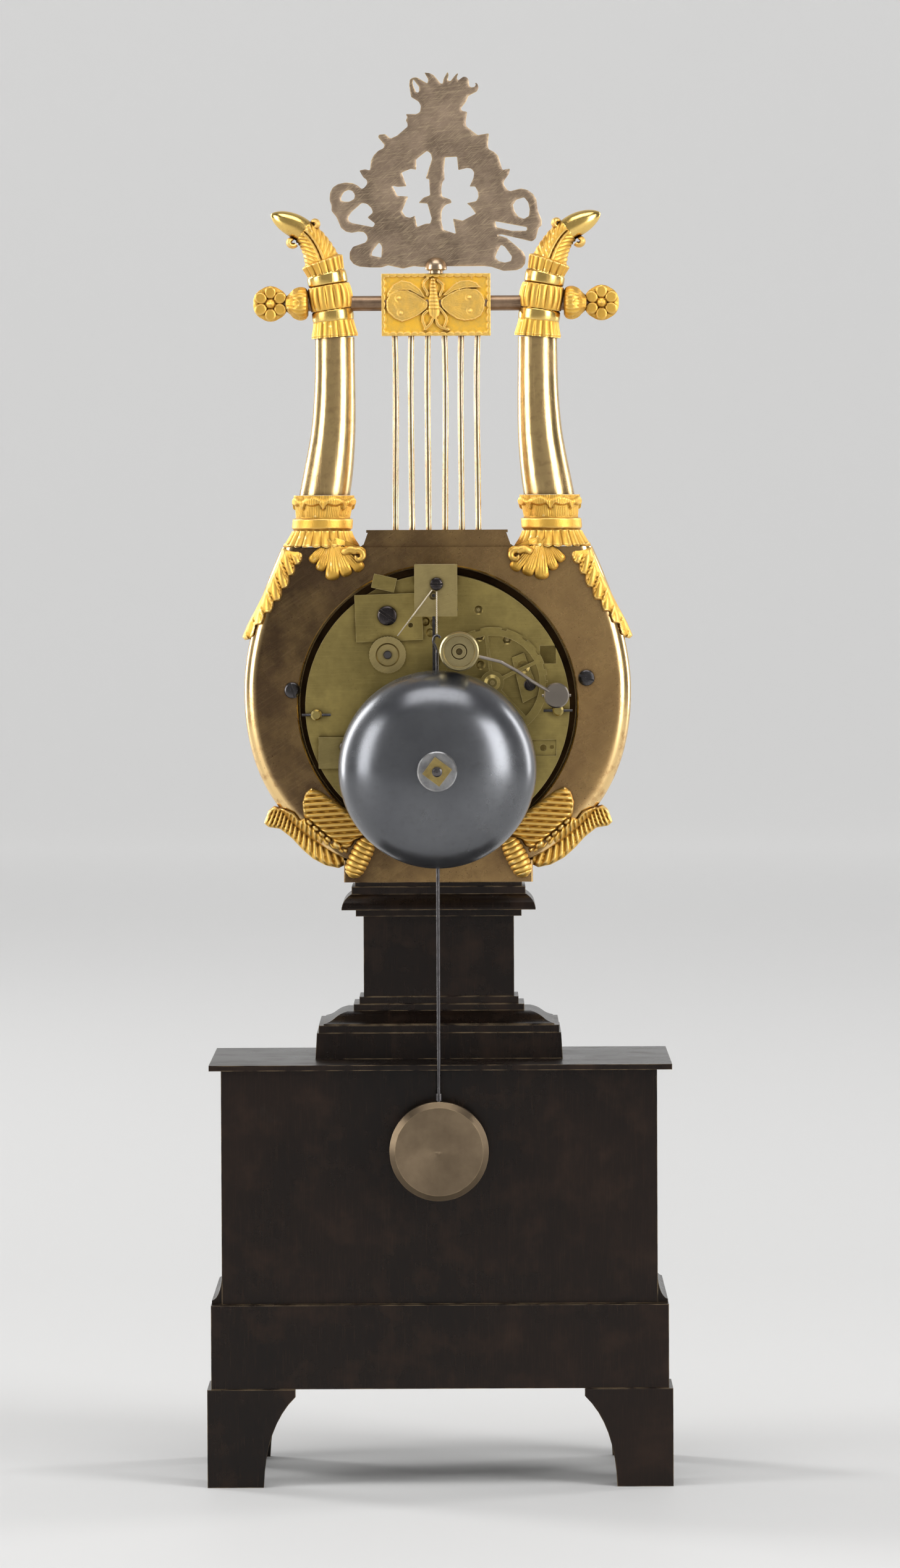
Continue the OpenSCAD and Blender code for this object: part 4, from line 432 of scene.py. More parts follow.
def patinatedBronze():
    # nearly black patina, brown in places, rubbed through to the metal at its edges
    tone = {"dark": (0.0055, 0.0038, 0.003), "brown": (0.016, 0.0085, 0.0055), "warm": (0.030, 0.016, 0.0095),
            "bloom": (0.10, 0.085, 0.07), "worn": (0.32, 0.23, 0.13)}
    look = Look("patinatedBronze", Metallic=0.3, Specular_IOR_Level=0.32)
    wide = look.patches(11.0, 0.35, 0.68)
    small = look.patches(90.0, 0.5, 0.9)
    look.start(wide, tone["dark"], tone["brown"])
    look.lay(small, tone["warm"])
    look.lay(look.strokes(110.0, 0.45, (1, 1, 34), 1.57)[0], tone["warm"])
    look.lay(look.patches(26.0, 0.68, 0.82), tone["bloom"], 0.25)
    look.lay(look.edges(0.0005, 170.0), tone["worn"], 0.6)
    return look.done(look.rise(wide, 0.24, 0.34, small, 0.12), small, 0.08, 0.0002)


def turnedBrass():
    # lathe rings round the middle of the bob
    tone = {"brown": (0.21, 0.155, 0.10), "dark": (0.13, 0.094, 0.062), "ring": (0.28, 0.21, 0.13),
            "edge": (0.5, 0.38, 0.22)}
    look = Look("turnedBrass", Metallic=1.0, Anisotropic=0.6)
    fromBob = addNode(look.tree, "ShaderNodeMapping", Vector=objectCoords(look.tree),
                      Location=(0, 0, -109.2*mm))
    rings = addNode(look.tree, "ShaderNodeTexWave", wave_type="RINGS", rings_direction="Y", Scale=1500,
                    Distortion=2.5, Detail=4, Vector=fromBob.outputs["Vector"]).outputs["Fac"]
    look.start(look.patches(90.0, 0.35, 0.7), tone["brown"], tone["dark"])
    look.lay(rings, tone["ring"], 0.3)
    look.lay(look.edges(0.0004, 260.0), tone["edge"])
    return look.done(0.33, rings, 0.25, 0.0001)


def silkThread():
    look = Look("silkThread")
    twist = addNode(look.tree, "ShaderNodeTexWave", bands_direction="DIAGONAL", Scale=900,
                    Vector=objectCoords(look.tree)).outputs["Fac"]
    look.start(twist, (0.42, 0.36, 0.26), (0.62, 0.55, 0.42))
    return look.done(0.6, twist, 0.4, 0.0001)


def whiteEnamel():
    look = Look("whiteEnamel", Coat_Weight=0.6, Coat_Roughness=0.05)
    look.start(look.patches(60.0, 0.3, 0.8), (0.86, 0.85, 0.80), (0.82, 0.80, 0.74))
    look.lay(look.specks(500.0, 0.08), (0.5, 0.47, 0.42))
    return look.done(0.12)


def clockGlass():
    look = Look("clockGlass", Base_Color=(0.97, 0.99, 0.99), IOR=1.5, Transmission_Weight=1.0)
    return look.done(look.between(look.patches(50.0, 0.5, 0.9), 0.0, 0.06))


made = [
    matteGilt(), ringGilt(), plaqueGilt(), numeralInk(), bellNutMetal(), dullBar(), lyreBack(), filedBrass(),
    bellMetal(), patinatedBronze(), turnedBrass(), silkThread(), whiteEnamel(), clockGlass(),
    burnishedGilt("burnishedGilt", (0.80, 0.56, 0.25), (0.52, 0.34, 0.16), 0.45),
    burnishedGilt("polishedGold", (0.90, 0.62, 0.19), (0.72, 0.46, 0.13), 0.15),
    burnishedGilt("stringWire", (0.60, 0.47, 0.29), (0.38, 0.28, 0.17), 0.5),
    agedBrass("agedBrass", 0.0, (0.50, 0.385, 0.13), (0.29, 0.225, 0.08)),
    agedBrass("paleBrass", 0.3, (0.52, 0.41, 0.18), (0.40, 0.31, 0.13)),
    agedBrass("silkWheelBrass", 0.8, (0.56, 0.44, 0.19), (0.42, 0.33, 0.14), arbor=(-16.1, 269.0, 1.4)),
    agedBrass("standBrass", 0.2, (0.42, 0.33, 0.13), (0.28, 0.22, 0.09), arbor=(0, 232.5, 2.4)),
    agedBrass("hammerBrass", 0.2, (0.44, 0.36, 0.18), (0.32, 0.26, 0.13), armFrom=13.6),
    agedBrass("nutBrass", 0.4, (0.50, 0.37, 0.25), (0.34, 0.25, 0.17)),
    darkSteel("darkSteel", (0.085, 0.08, 0.082), (0.22, 0.2, 0.19), 0.25),
    darkSteel("bluedSteel", (0.06, 0.052, 0.052), (0.24, 0.2, 0.18), 0.24)]
finish = {material.name: material for material in made}
print("materials made:", len(finish))

nodeFinish = {
    "patinatedBronze": ["bracket_feet", "base_band", "base_box", "box_moulding", "base_cap", "pedestal_foot",
                        "pedestal_die", "pedestal_cap"],
    "lyreBack": ["string_yoke"], "nutBrass": ["cresting_nut"], "ringGilt": ["dial_ring"],
    "burnishedGilt": ["bezel"], "dullBar": ["crossbar"], "silkWheelBrass": ["silk_wheel"],
    "standBrass": ["bell_stand"], "hammerBrass": ["hammer"], "bellNutMetal": ["bell_nut"],
    "agedBrass": ["front_plate", "back_plate", "pillars", "going_barrel", "strike_barrel", "plate_cocks",
                  "count_wheel"],
    "paleBrass": ["intermediate_wheel", "centre_wheel", "third_wheel", "escape_wheel", "second_wheel",
                  "pin_wheel", "locking_wheel", "warning_wheel", "fly", "suspension_block", "minute_wheel",
                  "hour_wheel"],
    "darkSteel": ["case_screws", "pillar_pins", "going_arbor", "strike_arbor", "pallet_anchor",
                  "pendulum_rod"],
    "bluedSteel": ["plate_screws", "minute_hand"], "turnedBrass": ["pendulum_bob"],
    "silkThread": ["silk_drop", "silk_tail"], "whiteEnamel": ["dial"], "clockGlass": ["bezel_glass"]}
for look, members in nodeFinish.items():
    for member in members:
        piece = cadNodes[member]
        piece.data.materials.clear()
        piece.data.materials.append(finish[look])
print("finishes laid on the model's own pieces")


# Mesh helpers, in millimetres
def addPiece(name, shell, looks, nodes, body="case", pick=None, sharp=38):
    mesh = bpy.data.meshes.new(name)
    mesh.from_pydata([(x*mm, y*mm, z*mm) for x, y, z in shell.verts], [], shell.faces)
    for look in looks:
        mesh.materials.append(finish[look])
    if pick:
        for face in mesh.polygons:
            face.material_index = pick(face.index, face.center / mm)
    shape = bmesh.new()
    shape.from_mesh(mesh)
    bmesh.ops.remove_doubles(shape, verts=shape.verts, dist=0.002*mm)
    bmesh.ops.dissolve_degenerate(shape, edges=shape.edges, dist=0.0001*mm)
    bmesh.ops.recalc_face_normals(shape, faces=shape.faces)
    shape.to_mesh(mesh)
    shape.free()
    mesh.shade_smooth()
    mesh.set_sharp_from_angle(angle=math.radians(sharp))
    piece = bpy.data.objects.new(name, mesh)
    bpy.context.collection.objects.link(piece)
    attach(piece, body)
    if nodes:
        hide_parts(*nodes)


class Shell:
    # points and faces of one piece, gathered as they are made
    def __init__(self):
        self.verts = []
        self.faces = []

    def add(self, verts, faces):
        start = len(self.verts)
        self.verts += [tuple(float(c) for c in v) for v in verts]
        self.faces += [tuple(start + i for i in face) for face in faces]

    def grid(self, rows, wrap=False, cap=(False, False)):
        # rows of points joined into quads; a wrapped grid closes round each row
        count = len(rows[0])
        verts = [p for row in rows for p in row]
        faces = []
        for i in range(len(rows) - 1):
            for k in range(count if wrap else count - 1):
                n = (k + 1) % count
                faces.append((i*count + k, i*count + n, (i + 1)*count + n, (i + 1)*count + k))
        if cap[0]:
            faces.append(tuple(range(count)))
        if cap[1]:
            faces.append(tuple((len(rows) - 1)*count + k for k in range(count)))
        self.add(verts, faces)

    def mirrored(self):
        other = Shell()
        other.add(self.verts, self.faces)
        other.add([(-x, y, z) for x, y, z in self.verts], self.faces)
        return other


def bend(a, b, c, count):
    # a curve from a to c that leans towards b
    a, b, c = (np.array(p, float) for p in (a, b, c))
    return [(1 - t)**2*a + 2*t*(1 - t)*b + t*t*c for t in np.linspace(0, 1, count + 1)]


def softened(loop, step, rounds=1, cut=0.22):
    # a closed outline with points set evenly along it, and its corners then cut a few times
    pts = [np.array(p, float) for p in loop]
    made = []
    for a, b in zip(pts, pts[1:] + pts[:1]):
        count = max(1, int(round(np.linalg.norm(b - a)/step)))
        made += [a + (b - a)*i/count for i in range(count)]
    loop = np.array(made)
    for _ in range(rounds):
        after = np.roll(loop, -1, axis=0)
        loop = np.stack([loop*(1 - cut) + after*cut, loop*cut + after*(1 - cut)], axis=1).reshape(-1, 2)
    return loop


def within(points, loop):
    # which points lie inside a closed loop
    x, y = points[:, 0], points[:, 1]
    result = np.zeros(len(points), bool)
    for (x0, y0), (x1, y1) in zip(loop, np.roll(loop, -1, axis=0)):
        if y0 != y1:
            result ^= ((y0 > y) != (y1 > y)) & (x < (x1 - x0)*(y - y0)/(y1 - y0) + x0)
    return result


def filled(points, loops):
    # which points lie inside the first loop and outside the others
    result = within(points, loops[0])
    for hole in loops[1:]:
        result &= ~within(points, hole)
    return result


def gapTo(points, line, closed=True):
    # each point's distance to a line
    line = np.array(line, float)
    best = np.full(len(points), 1e9)
    last = len(line) if closed else len(line) - 1
    for i in range(last):
        a, b = line[i], line[(i + 1) % len(line)]
        d = b - a
        t = np.clip(((points - a) @ d)/(d @ d + 1e-12), 0, 1)
        best = np.minimum(best, np.linalg.norm(points - a - t[:, None]*d, axis=1))
    return best


def flatFill(loops, step):
    # points and triangles that fill an outline and leave its holes, and each point's gap to the edge
    edgePoints = np.concatenate(loops)
    edges, start = [], 0
    for loop in loops:
        edges += [(start + i, start + (i + 1) % len(loop)) for i in range(len(loop))]
        start += len(loop)
    low, high = edgePoints.min(axis=0), edgePoints.max(axis=0)
    rows = []
    for j, z in enumerate(np.arange(low[1], high[1], step*0.87)):
        xs = np.arange(low[0] + (step/2 if j % 2 else 0), high[0], step)
        rows.append(np.stack([xs, np.full_like(xs, z)], axis=1))
    field = np.concatenate(rows)
    field = field[filled(field, loops)]
    field = field[np.min([gapTo(field, loop) for loop in loops], axis=0) > step*0.5]
    everything = np.concatenate([edgePoints, field])
    made, _, faces, *_ = delaunay_2d_cdt([Vector(p) for p in everything], edges, [], 1, 1e-5)
    made = np.array([tuple(p) for p in made])
    middles = np.array([made[list(f)].mean(axis=0) for f in faces])
    faces = [f for f, ok in zip(faces, filled(middles, loops)) if ok]
    return made, faces, np.min([gapTo(made, loop) for loop in loops], axis=0)


def relief(shell, loops, step, rear, front):
    # a closed slab with two moulded sides; rear and front give y from points and their gap to the edge
    points, faces, gap = flatFill(loops, step)
    count = len(points)
    verts = [(p[0], y, p[1]) for side in (rear, front) for p, y in zip(points, side(points, gap))]
    used = {}
    for f in faces:
        for a, b in zip(f, f[1:] + f[:1]):
            used[(a, b)] = used.get((a, b), 0) + 1
    walls = [(a, b) for (a, b) in used if (b, a) not in used]
    everything = [tuple(f) for f in faces] + [tuple(count + i for i in reversed(f)) for f in faces]
    everything += [(b, a, count + a, count + b) for a, b in walls]
    shell.add(verts, everything)


def turns(count):
    # angles evenly spaced once round
    return [2*math.pi*k/count for k in range(count)]


def sweep(shell, path, radii, sides, flat=1.0):
    # a closed tube along points in space, flattened one way where flat isn't 1
    path = np.array(path, float)
    rows = []
    across = None
    for i, p in enumerate(path):
        d = path[min(i + 1, len(path) - 1)] - path[max(i - 1, 0)]
        d /= np.linalg.norm(d)
        if across is None:
            across = np.cross(d, (0, 1, 0)) if abs(d[1]) < 0.9 else np.array((1.0, 0, 0))
        across = across - d*(across @ d)
        across /= np.linalg.norm(across)
        other = np.cross(d, across)
        r = radii[i]
        rows.append([p + r*math.cos(a)*across + r*flat*math.sin(a)*other for a in turns(sides)])
    shell.grid(rows, wrap=True, cap=(True, True))


def through(points, count):
    # a smooth curve through the points, evenly spaced along its length
    pts = np.array(points, float)
    ends = np.vstack([2*pts[0] - pts[1], pts, 2*pts[-1] - pts[-2]])
    fine = []
    for i in range(1, len(ends) - 2):
        p0, p1, p2, p3 = ends[i - 1:i + 3]
        for t in np.linspace(0, 1, 12, endpoint=False):
            square, cube = (2*p0 - 5*p1 + 4*p2 - p3)*t*t, (3*p1 - p0 - 3*p2 + p3)*t**3
            fine.append(0.5*(2*p1 + (p2 - p0)*t + square + cube))
    fine.append(pts[-1])
    fine = np.array(fine)
    run = np.concatenate([[0], np.cumsum(np.linalg.norm(np.diff(fine, axis=0), axis=1))])
    at = np.linspace(0, run[-1], count)
    return np.stack([np.interp(at, run, fine[:, k]) for k in range(fine.shape[1])], axis=1)


def makeOutline():
    # the lyre about the middle of its opening: its right side from the top down, then its left side
    side = bend((51.0, 51.8), (62.8, 26.0), (63.5, 7.0), 22)
    side += [p for p in bend((63.5, 7.0), (64.5, -36.0), (29.0, -50.9), 40) if p[1] < 6.9]
    side = np.array(side + [(31.0, -50.9), (31.0, -58.1)])
    return np.concatenate([side, side[::-1]*(-1, 1)])


lyreOutline = makeOutline()


def makeBody():
    # one casting with rounded edges and a round opening
    curve = {"hole": 45.8, "lip": 0.4, "foot": -50.0, "top": 51.5, "steps": 9, "around": 160}
    outline = lyreOutline
    before, after = np.roll(outline, 1, axis=0), np.roll(outline, -1, axis=0)
    t = (after - before)/np.linalg.norm(after - before, axis=1)[:, None]
    normal = np.stack([-t[:, 1], t[:, 0]], axis=1)
    normal *= np.sign((normal*outline).sum(axis=1))[:, None]
    level = outline[:, 1]
    rounding = np.clip((level - curve["foot"])/8.0, 0.12, 1.0)*lyre["edge"]
    for ends in (level > curve["top"], level < curve["foot"]):
        normal[ends] = np.stack([np.sign(outline[ends, 0]), np.zeros(ends.sum())], axis=1)
    shell = Shell()
    rows = []
    # quarter-round edges, from the outline inwards, first at the rear and then at the front
    for side, y0 in ((1, lyre["rear"]), (-1, lyre["front"])):
        made = []
        for j in range(curve["steps"] + 1):
            phi = math.pi/2*j/curve["steps"]
            inset = rounding*(1 - math.sin(phi))
            rise = rounding*(1 - math.cos(phi))
            loop = outline - normal*inset[:, None]
            made.append([(p[0], y0 + side*r, p[1] + lyre["midZ"]) for p, r in zip(loop, rise)])
        rows += made if side == 1 else made[::-1]
    shell.grid(rows, wrap=True)
    ring = [np.array((math.cos(a), math.sin(a))) for a in turns(curve["around"])]
    flat = outline - normal*rounding[:, None]
    wide = np.array([p*(curve["hole"] + curve["lip"]) for p in ring])
    points, faces, _ = flatFill([flat, wide], 2.6)
    for y in (lyre["rear"], lyre["front"]):
        shell.add([(p[0], y, p[1] + lyre["midZ"]) for p in points], faces)
    tunnel = []
    for lip, y in ((curve["lip"], lyre["rear"]), (0, lyre["rear"] + curve["lip"]),
                   (0, lyre["front"] - curve["lip"]), (curve["lip"], lyre["front"])):
        r = curve["hole"] + lip
        tunnel.append([(p[0]*r, y, p[1]*r + lyre["midZ"]) for p in ring])
    shell.grid(tunnel, wrap=True)
    addPiece("lyreBody", shell, ["lyreBack"], ["lyre_body"], sharp=30)


def edgeDrop(points, spread=0.9, most=99.0):
    # how far the casting's rounded edge falls away below a point of its rear
    edge = lyre["edge"]
    gap = gapTo(points, lyreOutline)
    inside = within(points, lyreOutline)
    depth = np.where(inside, np.clip(edge - gap, 0, edge), edge)
    drop = edge - np.sqrt(np.clip(edge**2 - depth**2, 0, edge**2))
    return np.minimum(np.where(inside, drop, edge + gap*spread), most)


def placed(shell, height=lyre["midZ"]):
    shell.verts = [(x, y, z + height) for x, y, z in shell.verts]
    return shell


collar = {"x": 38.0, "z": 303.9, "skirt": 12.7, "ridges": 22, "petals": 8, "around": 264}


def tucked(x, y, z):
    # near the lower collar's skirt a leaf sinks back and passes behind it
    foot = 52.1
    low = np.clip((foot + 0.2 - z)/3.2, 0, 1)
    y = np.where(y < lyre["rear"], lyre["rear"] + (y - lyre["rear"])*(0.15 + 0.85*low**0.7), y)
    skirt = lyre["midY"] - np.sqrt(np.clip(collar["skirt"]**2 - (x - collar["x"])**2, 0, None)) + 0.5
    return np.where(z > foot, np.maximum(y, skirt), y)


def makeShoulderLeaves():
    # a palm leaf down the outer edge and a fan with a scroll beside it, on each shoulder
    palmLeaf = {"swell": 1.15, "lobe": 0.95, "wrap": 15, "across": (0.94, -0.33)}
    palmTips = (24.1, 27.15, 30.18, 33.54, 37.06, 41.04, 45.3, 48.9, 52.5)
    palmEdge = [(44.6, 52.4), (50.3, 53.1), (51.6, 48.8), (53.7, 43.6), (56.2, 38.5), (59.2, 32.5),
                (62.2, 27), (64.2, 22.4), (63.2, 21.4), (61.6, 21.8), (60.2, 23.2), (59.8, 24.7),
                (59.4, 26.3), (57.6, 26.7), (56.9, 28.3), (56.4, 30.3), (54.4, 30.5), (53.7, 32.2),
                (53.4, 34.1), (51.5, 34.3), (50.8, 36.2), (50.7, 38.2), (49.2, 38.4), (48.4, 40.2),
                (48.4, 42.4), (47.1, 42.6), (46.4, 44.2), (46.5, 45.9), (45.1, 46.1), (44.2, 47.6),
                (43.9, 49.6)]
    palmOuter = palmEdge[1:8]
    fan = {"root": (34.5, 55.5), "angles": (-160, -140, -122, -102, -80, -61, -42),
           "length": (12.4, 15.0, 14.2, 14.5, 12.1, 11.0), "across": 30, "rings": 25}
    scroll = {"x": 25.7, "z": 48.8, "r": 1.9, "turn": 5.4, "thick": 1.55}
    shell = Shell()

    def palmRear(points, gap):
        # long lobes laid like shingles, each with a thin raised rim on its lower side
        phase = np.interp(points @ np.array(palmLeaf["across"]), palmTips, np.arange(-1, 8)) + 0.42
        u = phase - np.floor(phase)
        tongue = 0.75*np.sin(math.pi*np.clip((u - 0.16)/0.84, 0, 1))**0.8 + 0.9*np.exp(-((u - 0.12)/0.075)**2)
        rim = 0.4*np.exp(-((gap - 0.45)/0.3)**2)
        outer = np.exp(-(gapTo(points, palmOuter, False)/1.15)**2)
        plain = np.maximum(outer, np.clip((points[:, 1] - 48.5)/2, 0, 1))
        carved = (palmLeaf["lobe"]*(tongue - 0.3) + rim)*(1 - plain) + 0.35*plain
        h = palmLeaf["swell"]*np.clip(gap/1.2, 0, 1)**0.5 + carved*np.clip(gap/0.4, 0.1, 1)
        return tucked(points[:, 0], lyre["rear"] + edgeDrop(points) - h, points[:, 1])

    def palmFront(points, gap):
        return np.maximum(lyre["rear"] + palmLeaf["wrap"], lyre["rear"] + edgeDrop(points) + 1)

    relief(shell, [softened(palmEdge, 0.7)], 0.34, palmRear, palmFront)
    root = np.array(fan["root"])
    rows = [[] for _ in range(fan["rings"] + 2)]
    for k, length in enumerate(fan["length"]):
        # one lobe of the fan after another; f runs from -1 to 1 across it and v from root to tip
        a0, a1 = fan["angles"][k:k + 2]
        last = k == len(fan["length"]) - 1
        for i in range(fan["across"] + last):
            f = 2*i/fan["across"] - 1
            a = math.radians(a0 + (a1 - a0)*i/fan["across"])
            reach = length*(0.87 + 0.13*math.sqrt(max(0, 1 - abs(f)**2.6)))
            way = np.array((math.cos(a), math.sin(a)))
            for j in range(fan["rings"]):
                v = 0.12 + 0.88*j/(fan["rings"] - 1)
                cushion = (0.7 + 0.3*(1 - abs(f)**3))*(1.1 + 0.75*v)
                fade = min(1, max(0, (0.92 - v)/0.2))*(1 - abs(f)**6)
                lines = 0.16*abs(math.cos(2.5*math.pi*f))**0.7*fade
                fall = math.sqrt(max(0, 1 - (max(0, v - 0.8)/0.2)**2.2))
                p = root + way*reach*v
                y = lyre["rear"] - 0.2 - (cushion - lines)*(0.12 + 0.88*fall)
                rows[j].append((p[0], float(tucked(p[0], y, p[1])), p[1]))
            p = root + way*reach
            rows[-2].append((p[0], lyre["rear"] + 0.6, p[1]))
            rows[-1].append((root[0] + way[0], lyre["rear"] + 2.0, root[1] + way[1]))
    shell.grid(rows)
    # scroll at the inner end of the fan
    spiral = []
    for j in range(61):
        t = j/60
        a = math.radians(60) + t*scroll["turn"]
        r = scroll["r"]*(1 - 0.8*t) + 0.05
        spiral.append((scroll["x"] + r*math.cos(a), lyre["rear"] - 1.5 - 0.9*t, scroll["z"] + r*math.sin(a)))
    stem = [(31.8, 1.6, 49.4), (30.2, -0.7, 50.3), (28.3, -1.3, 50.9)]
    spiral = [(x, lyre["rear"] + y, z) for x, y, z in stem] + spiral
    sweep(shell, through(spiral, 100), [scroll["thick"] - 0.6*i/99 for i in range(100)], 24, flat=0.85)
    addPiece("shoulderLeaves", placed(shell).mirrored(), ["matteGilt"], ["shoulder_leaves"], sharp=60)


def makeLowerLeaves():
    # a pair of ribbed leaves with a beaded midrib, and a bound bundle, low on each side
    leaf = {"pitch": 1.84, "ribs": 0.8, "swell": 1.25, "lip": 1.1, "lipWidth": 0.55}
    bundle = {"r": 3.55, "folds": 8, "flat": 0.85, "steps": 72, "out": 0.9}
    upperEdge = [(20.4, -43.8), (24.2, -40.4), (28.5, -35.7), (33.2, -31.9), (38.3, -28.2), (41.5, -26.9),
                 (43.4, -28.4), (44.6, -31.9), (44.3, -35.3), (43.9, -37), (39.6, -40.8), (36.2, -43.8),
                 (32.8, -46.4), (30.2, -47.2), (28.5, -46.4), (27.2, -44.3), (24.2, -43.4)]
    lowerEdge = [(43.7, -36.6), (45.6, -37.6), (47.3, -35.2), (50.7, -33.9), (54.1, -33.2), (55.8, -34.6),
                 (56.7, -37), (57.3, -38.7), (55.8, -40), (52, -40.6), (48.2, -43.6), (44.7, -47.4),
                 (41.3, -50.4), (37, -52.7), (32.8, -53.6), (30.4, -52.4), (29.5, -49), (29.3, -47),
                 (32.8, -46.2), (36.2, -43.6), (39.6, -40.6)]
    upperLip = [(40, -27.4), (42.2, -27.3), (43.8, -29), (44.5, -32), (44.0, -35.4)]
    lowerLip = [(45.8, -37.4), (47.5, -35.4), (50.7, -34.3), (54.1, -33.7), (55.9, -35.6)]
    midrib = through([(33.5, -45.8), (36.5, -43.6), (40.4, -40.1), (43.7, -36.9)], 40)
    bead, knob = (1.25, 0.62, 0.75), (1.7, 1.05, 1.2)  # half length, half width and height
    beads = [(midrib[k], bead) for k in (9, 17, 25, 33)] + [((33.3, -46.0), knob)]
    slope = np.array((0.74, 0.67))
    shell = Shell()

    def side(edge, lip, phase, reach):
        def rear(points, gap):
            # round-backed ribs run from the midrib to the edge and die out at both ends
            run = gapTo(points, midrib, False)
            rib = np.abs(np.cos(math.pi*phase(points[:, 0], points[:, 1])/leaf["pitch"]))**1.1
            rim = np.exp(-(gapTo(points, lip, False)/leaf["lipWidth"])**2)
            mid = np.exp(-(run/0.9)**2)
            ribs = leaf["ribs"]*(rib - 0.35)*np.clip(gap/0.9, 0, 1)*(1 - rim)*(1 - mid)
            h = leaf["swell"]*np.clip(gap/1.3, 0, 1)**0.5 + ribs
            h += leaf["lip"]*rim*np.clip(gap/0.4, 0.3, 1) - 0.35*mid
            for place, (long, wide, high) in beads:
                off = points - np.array(place)
                q = 1 - (off @ slope/long)**2 - (off @ np.array((-slope[1], slope[0]))/wide)**2
                h = np.maximum(h, leaf["swell"] + high*np.sqrt(np.clip(q, 0, 1)) - 99*(q <= 0))
            return lyre["rear"] + edgeDrop(points, 0.12, reach) - h

        def front(points, gap):
            return np.full(len(points), lyre["rear"] + reach + 6)

        relief(shell, [softened(edge, 0.9)], 0.32, rear, front)

    side(upperEdge, upperLip, lambda x, z: z + 0.07*x, 2.0)
    side(lowerEdge, lowerLip, lambda x, z: x + 0.039*(x - 41.1)*(z + 45), 4.5)
    steps = bundle["steps"]
    line = through([(22.6, -43.6), (23.9, -46.2), (25.9, -50.2), (27.4, -53.4), (28.6, -56.4)], steps + 1)
    path = [(p[0], lyre["rear"] - bundle["out"], p[1]) for p in line]
    radii = []
    for i in range(steps + 1):
        bulge = math.sqrt(max(0.1, 1 - abs(2*i/steps - 1)**4))
        radii.append(bundle["r"]*bulge*(0.87 + 0.13*abs(math.sin(math.pi*i/steps*bundle["folds"]))**0.5))
    sweep(shell, path, radii, 28, flat=bundle["flat"])
    addPiece("lowerLeaves", placed(shell).mirrored(), ["matteGilt"], ["lower_leaves"], sharp=60)


def makeLowerCollars():
    # pleated skirt, plain band and a cup of petals; heights run up from the collar's foot
    def radius(z, a):
        if z < 5.3:
            base = 9.9 + 3.0*(1 - z/5.3)**1.25
            fold = abs(math.cos(collar["ridges"]*a/2))**0.7
            return (base - (0.95 - 0.5*z/5.3)*(1 - fold))*(1 if z > 0.5 else 0.975)
        if z < 5.9:
            return 9.35
        if z < 9.4:
            edge = min(z - 5.9, 9.4 - z)
            return 9.95 - 0.35*max(0, 1 - edge/0.45)**2
        if z < 9.9:
            return 9.0
        beat = abs(math.cos(collar["petals"]*a/2))
        tip = 16.4 - 1.0*beat**2
        lipEdge = 13.9 + 0.5*math.cos(collar["petals"]*a) - 2.3*beat**14
        base = 8.95 + 0.85*(z - 9.9)/6 + 0.14*abs(math.sin(44*a)) - 0.35*beat**10
        if z > lipEdge:
            curl = min(1, (z - lipEdge)/0.5)
            over = max(0, (z - tip + 0.9)/1.2)
            return base + 0.95*curl**0.5 - 0.9*min(1, over)**2
        return base

    def point(x, r, a, z):
        return (x + r*math.cos(a), lyre["midY"] + r*math.sin(a), collar["z"] + z)

    heights = [*np.linspace(0, 5.29, 20), 5.3, 5.6, 5.9, *np.linspace(5.91, 9.39, 12), 9.4, 9.7,
               *np.linspace(9.95, 17.0, 46)]
    rows = []
    for z in heights:
        x = collar["x"] - 0.9*min(1, max(0, (z - 3)/12))
        row = []
        for a in turns(collar["around"]):
            scallop = 0.4*(1 - abs(math.cos(collar["ridges"]*a/2))) if z < 0.4 else 0
            row.append(point(x, radius(z, a), a, z + scallop))
        rows.append(row)
    rows.append([point(collar["x"] - 1, 8.2, a, 16.6) for a in turns(collar["around"])])
    shell = Shell()
    shell.grid(rows, wrap=True, cap=(True, True))
    addPiece("lowerCollars", shell.mirrored(), ["matteGilt"], ["lower_collars"], sharp=55)


def makeHorns():
    # the plain arms; each point is the axis's x, the height above the foot, and the radius there
    horn = {"foot": 321.0, "around": 96,
            "points": [(36.9, 0, 8.4), (35.9, 6, 8.2), (34.9, 13, 7.8), (34, 21, 7.3), (33.5, 30, 6.9),
                       (33.3, 40, 6.6), (33.3, 51.8, 6.45)]}
    shell = Shell()
    rows = [[(x + r*math.cos(a), lyre["midY"] + r*math.sin(a), horn["foot"] + h)
             for a in turns(horn["around"])]
            for x, h, r in through(horn["points"], 60)]
    shell.grid(rows, wrap=True, cap=(True, True))
    addPiece("horns", shell.mirrored(), ["burnishedGilt"], ["horns"])


def makeStrings():
    # six stiff gilt wires, each bowed a little its own way
    string = {"r": 1.0, "pitch": 5.45, "low": 309.5, "high": 373.2, "steps": 60,
              "bows": (0.3, -0.25, -0.2, 0.3, -0.2, -0.35)}
    curve = ((0, 0), (0.4, 0.3), (1, 0.62), (0.8, 0.85), (0, 1))  # share of the bow, share of the length
    run = string["high"] - string["low"]
    shell = Shell()
    for i, bow in enumerate(string["bows"]):
        x = (i - 2.5)*string["pitch"]
        spots = [(x + bow*out, string["low"] + run*up) for out, up in curve]
        path = [(p[0], lyre["midY"], p[1]) for p in through(spots, string["steps"])]
        radii = [string["r"] + 0.03*math.sin(0.23*k + 2*i) for k in range(string["steps"])]
        sweep(shell, path, radii, 20)
    addPiece("strings", shell, ["stringWire"], ["strings"])


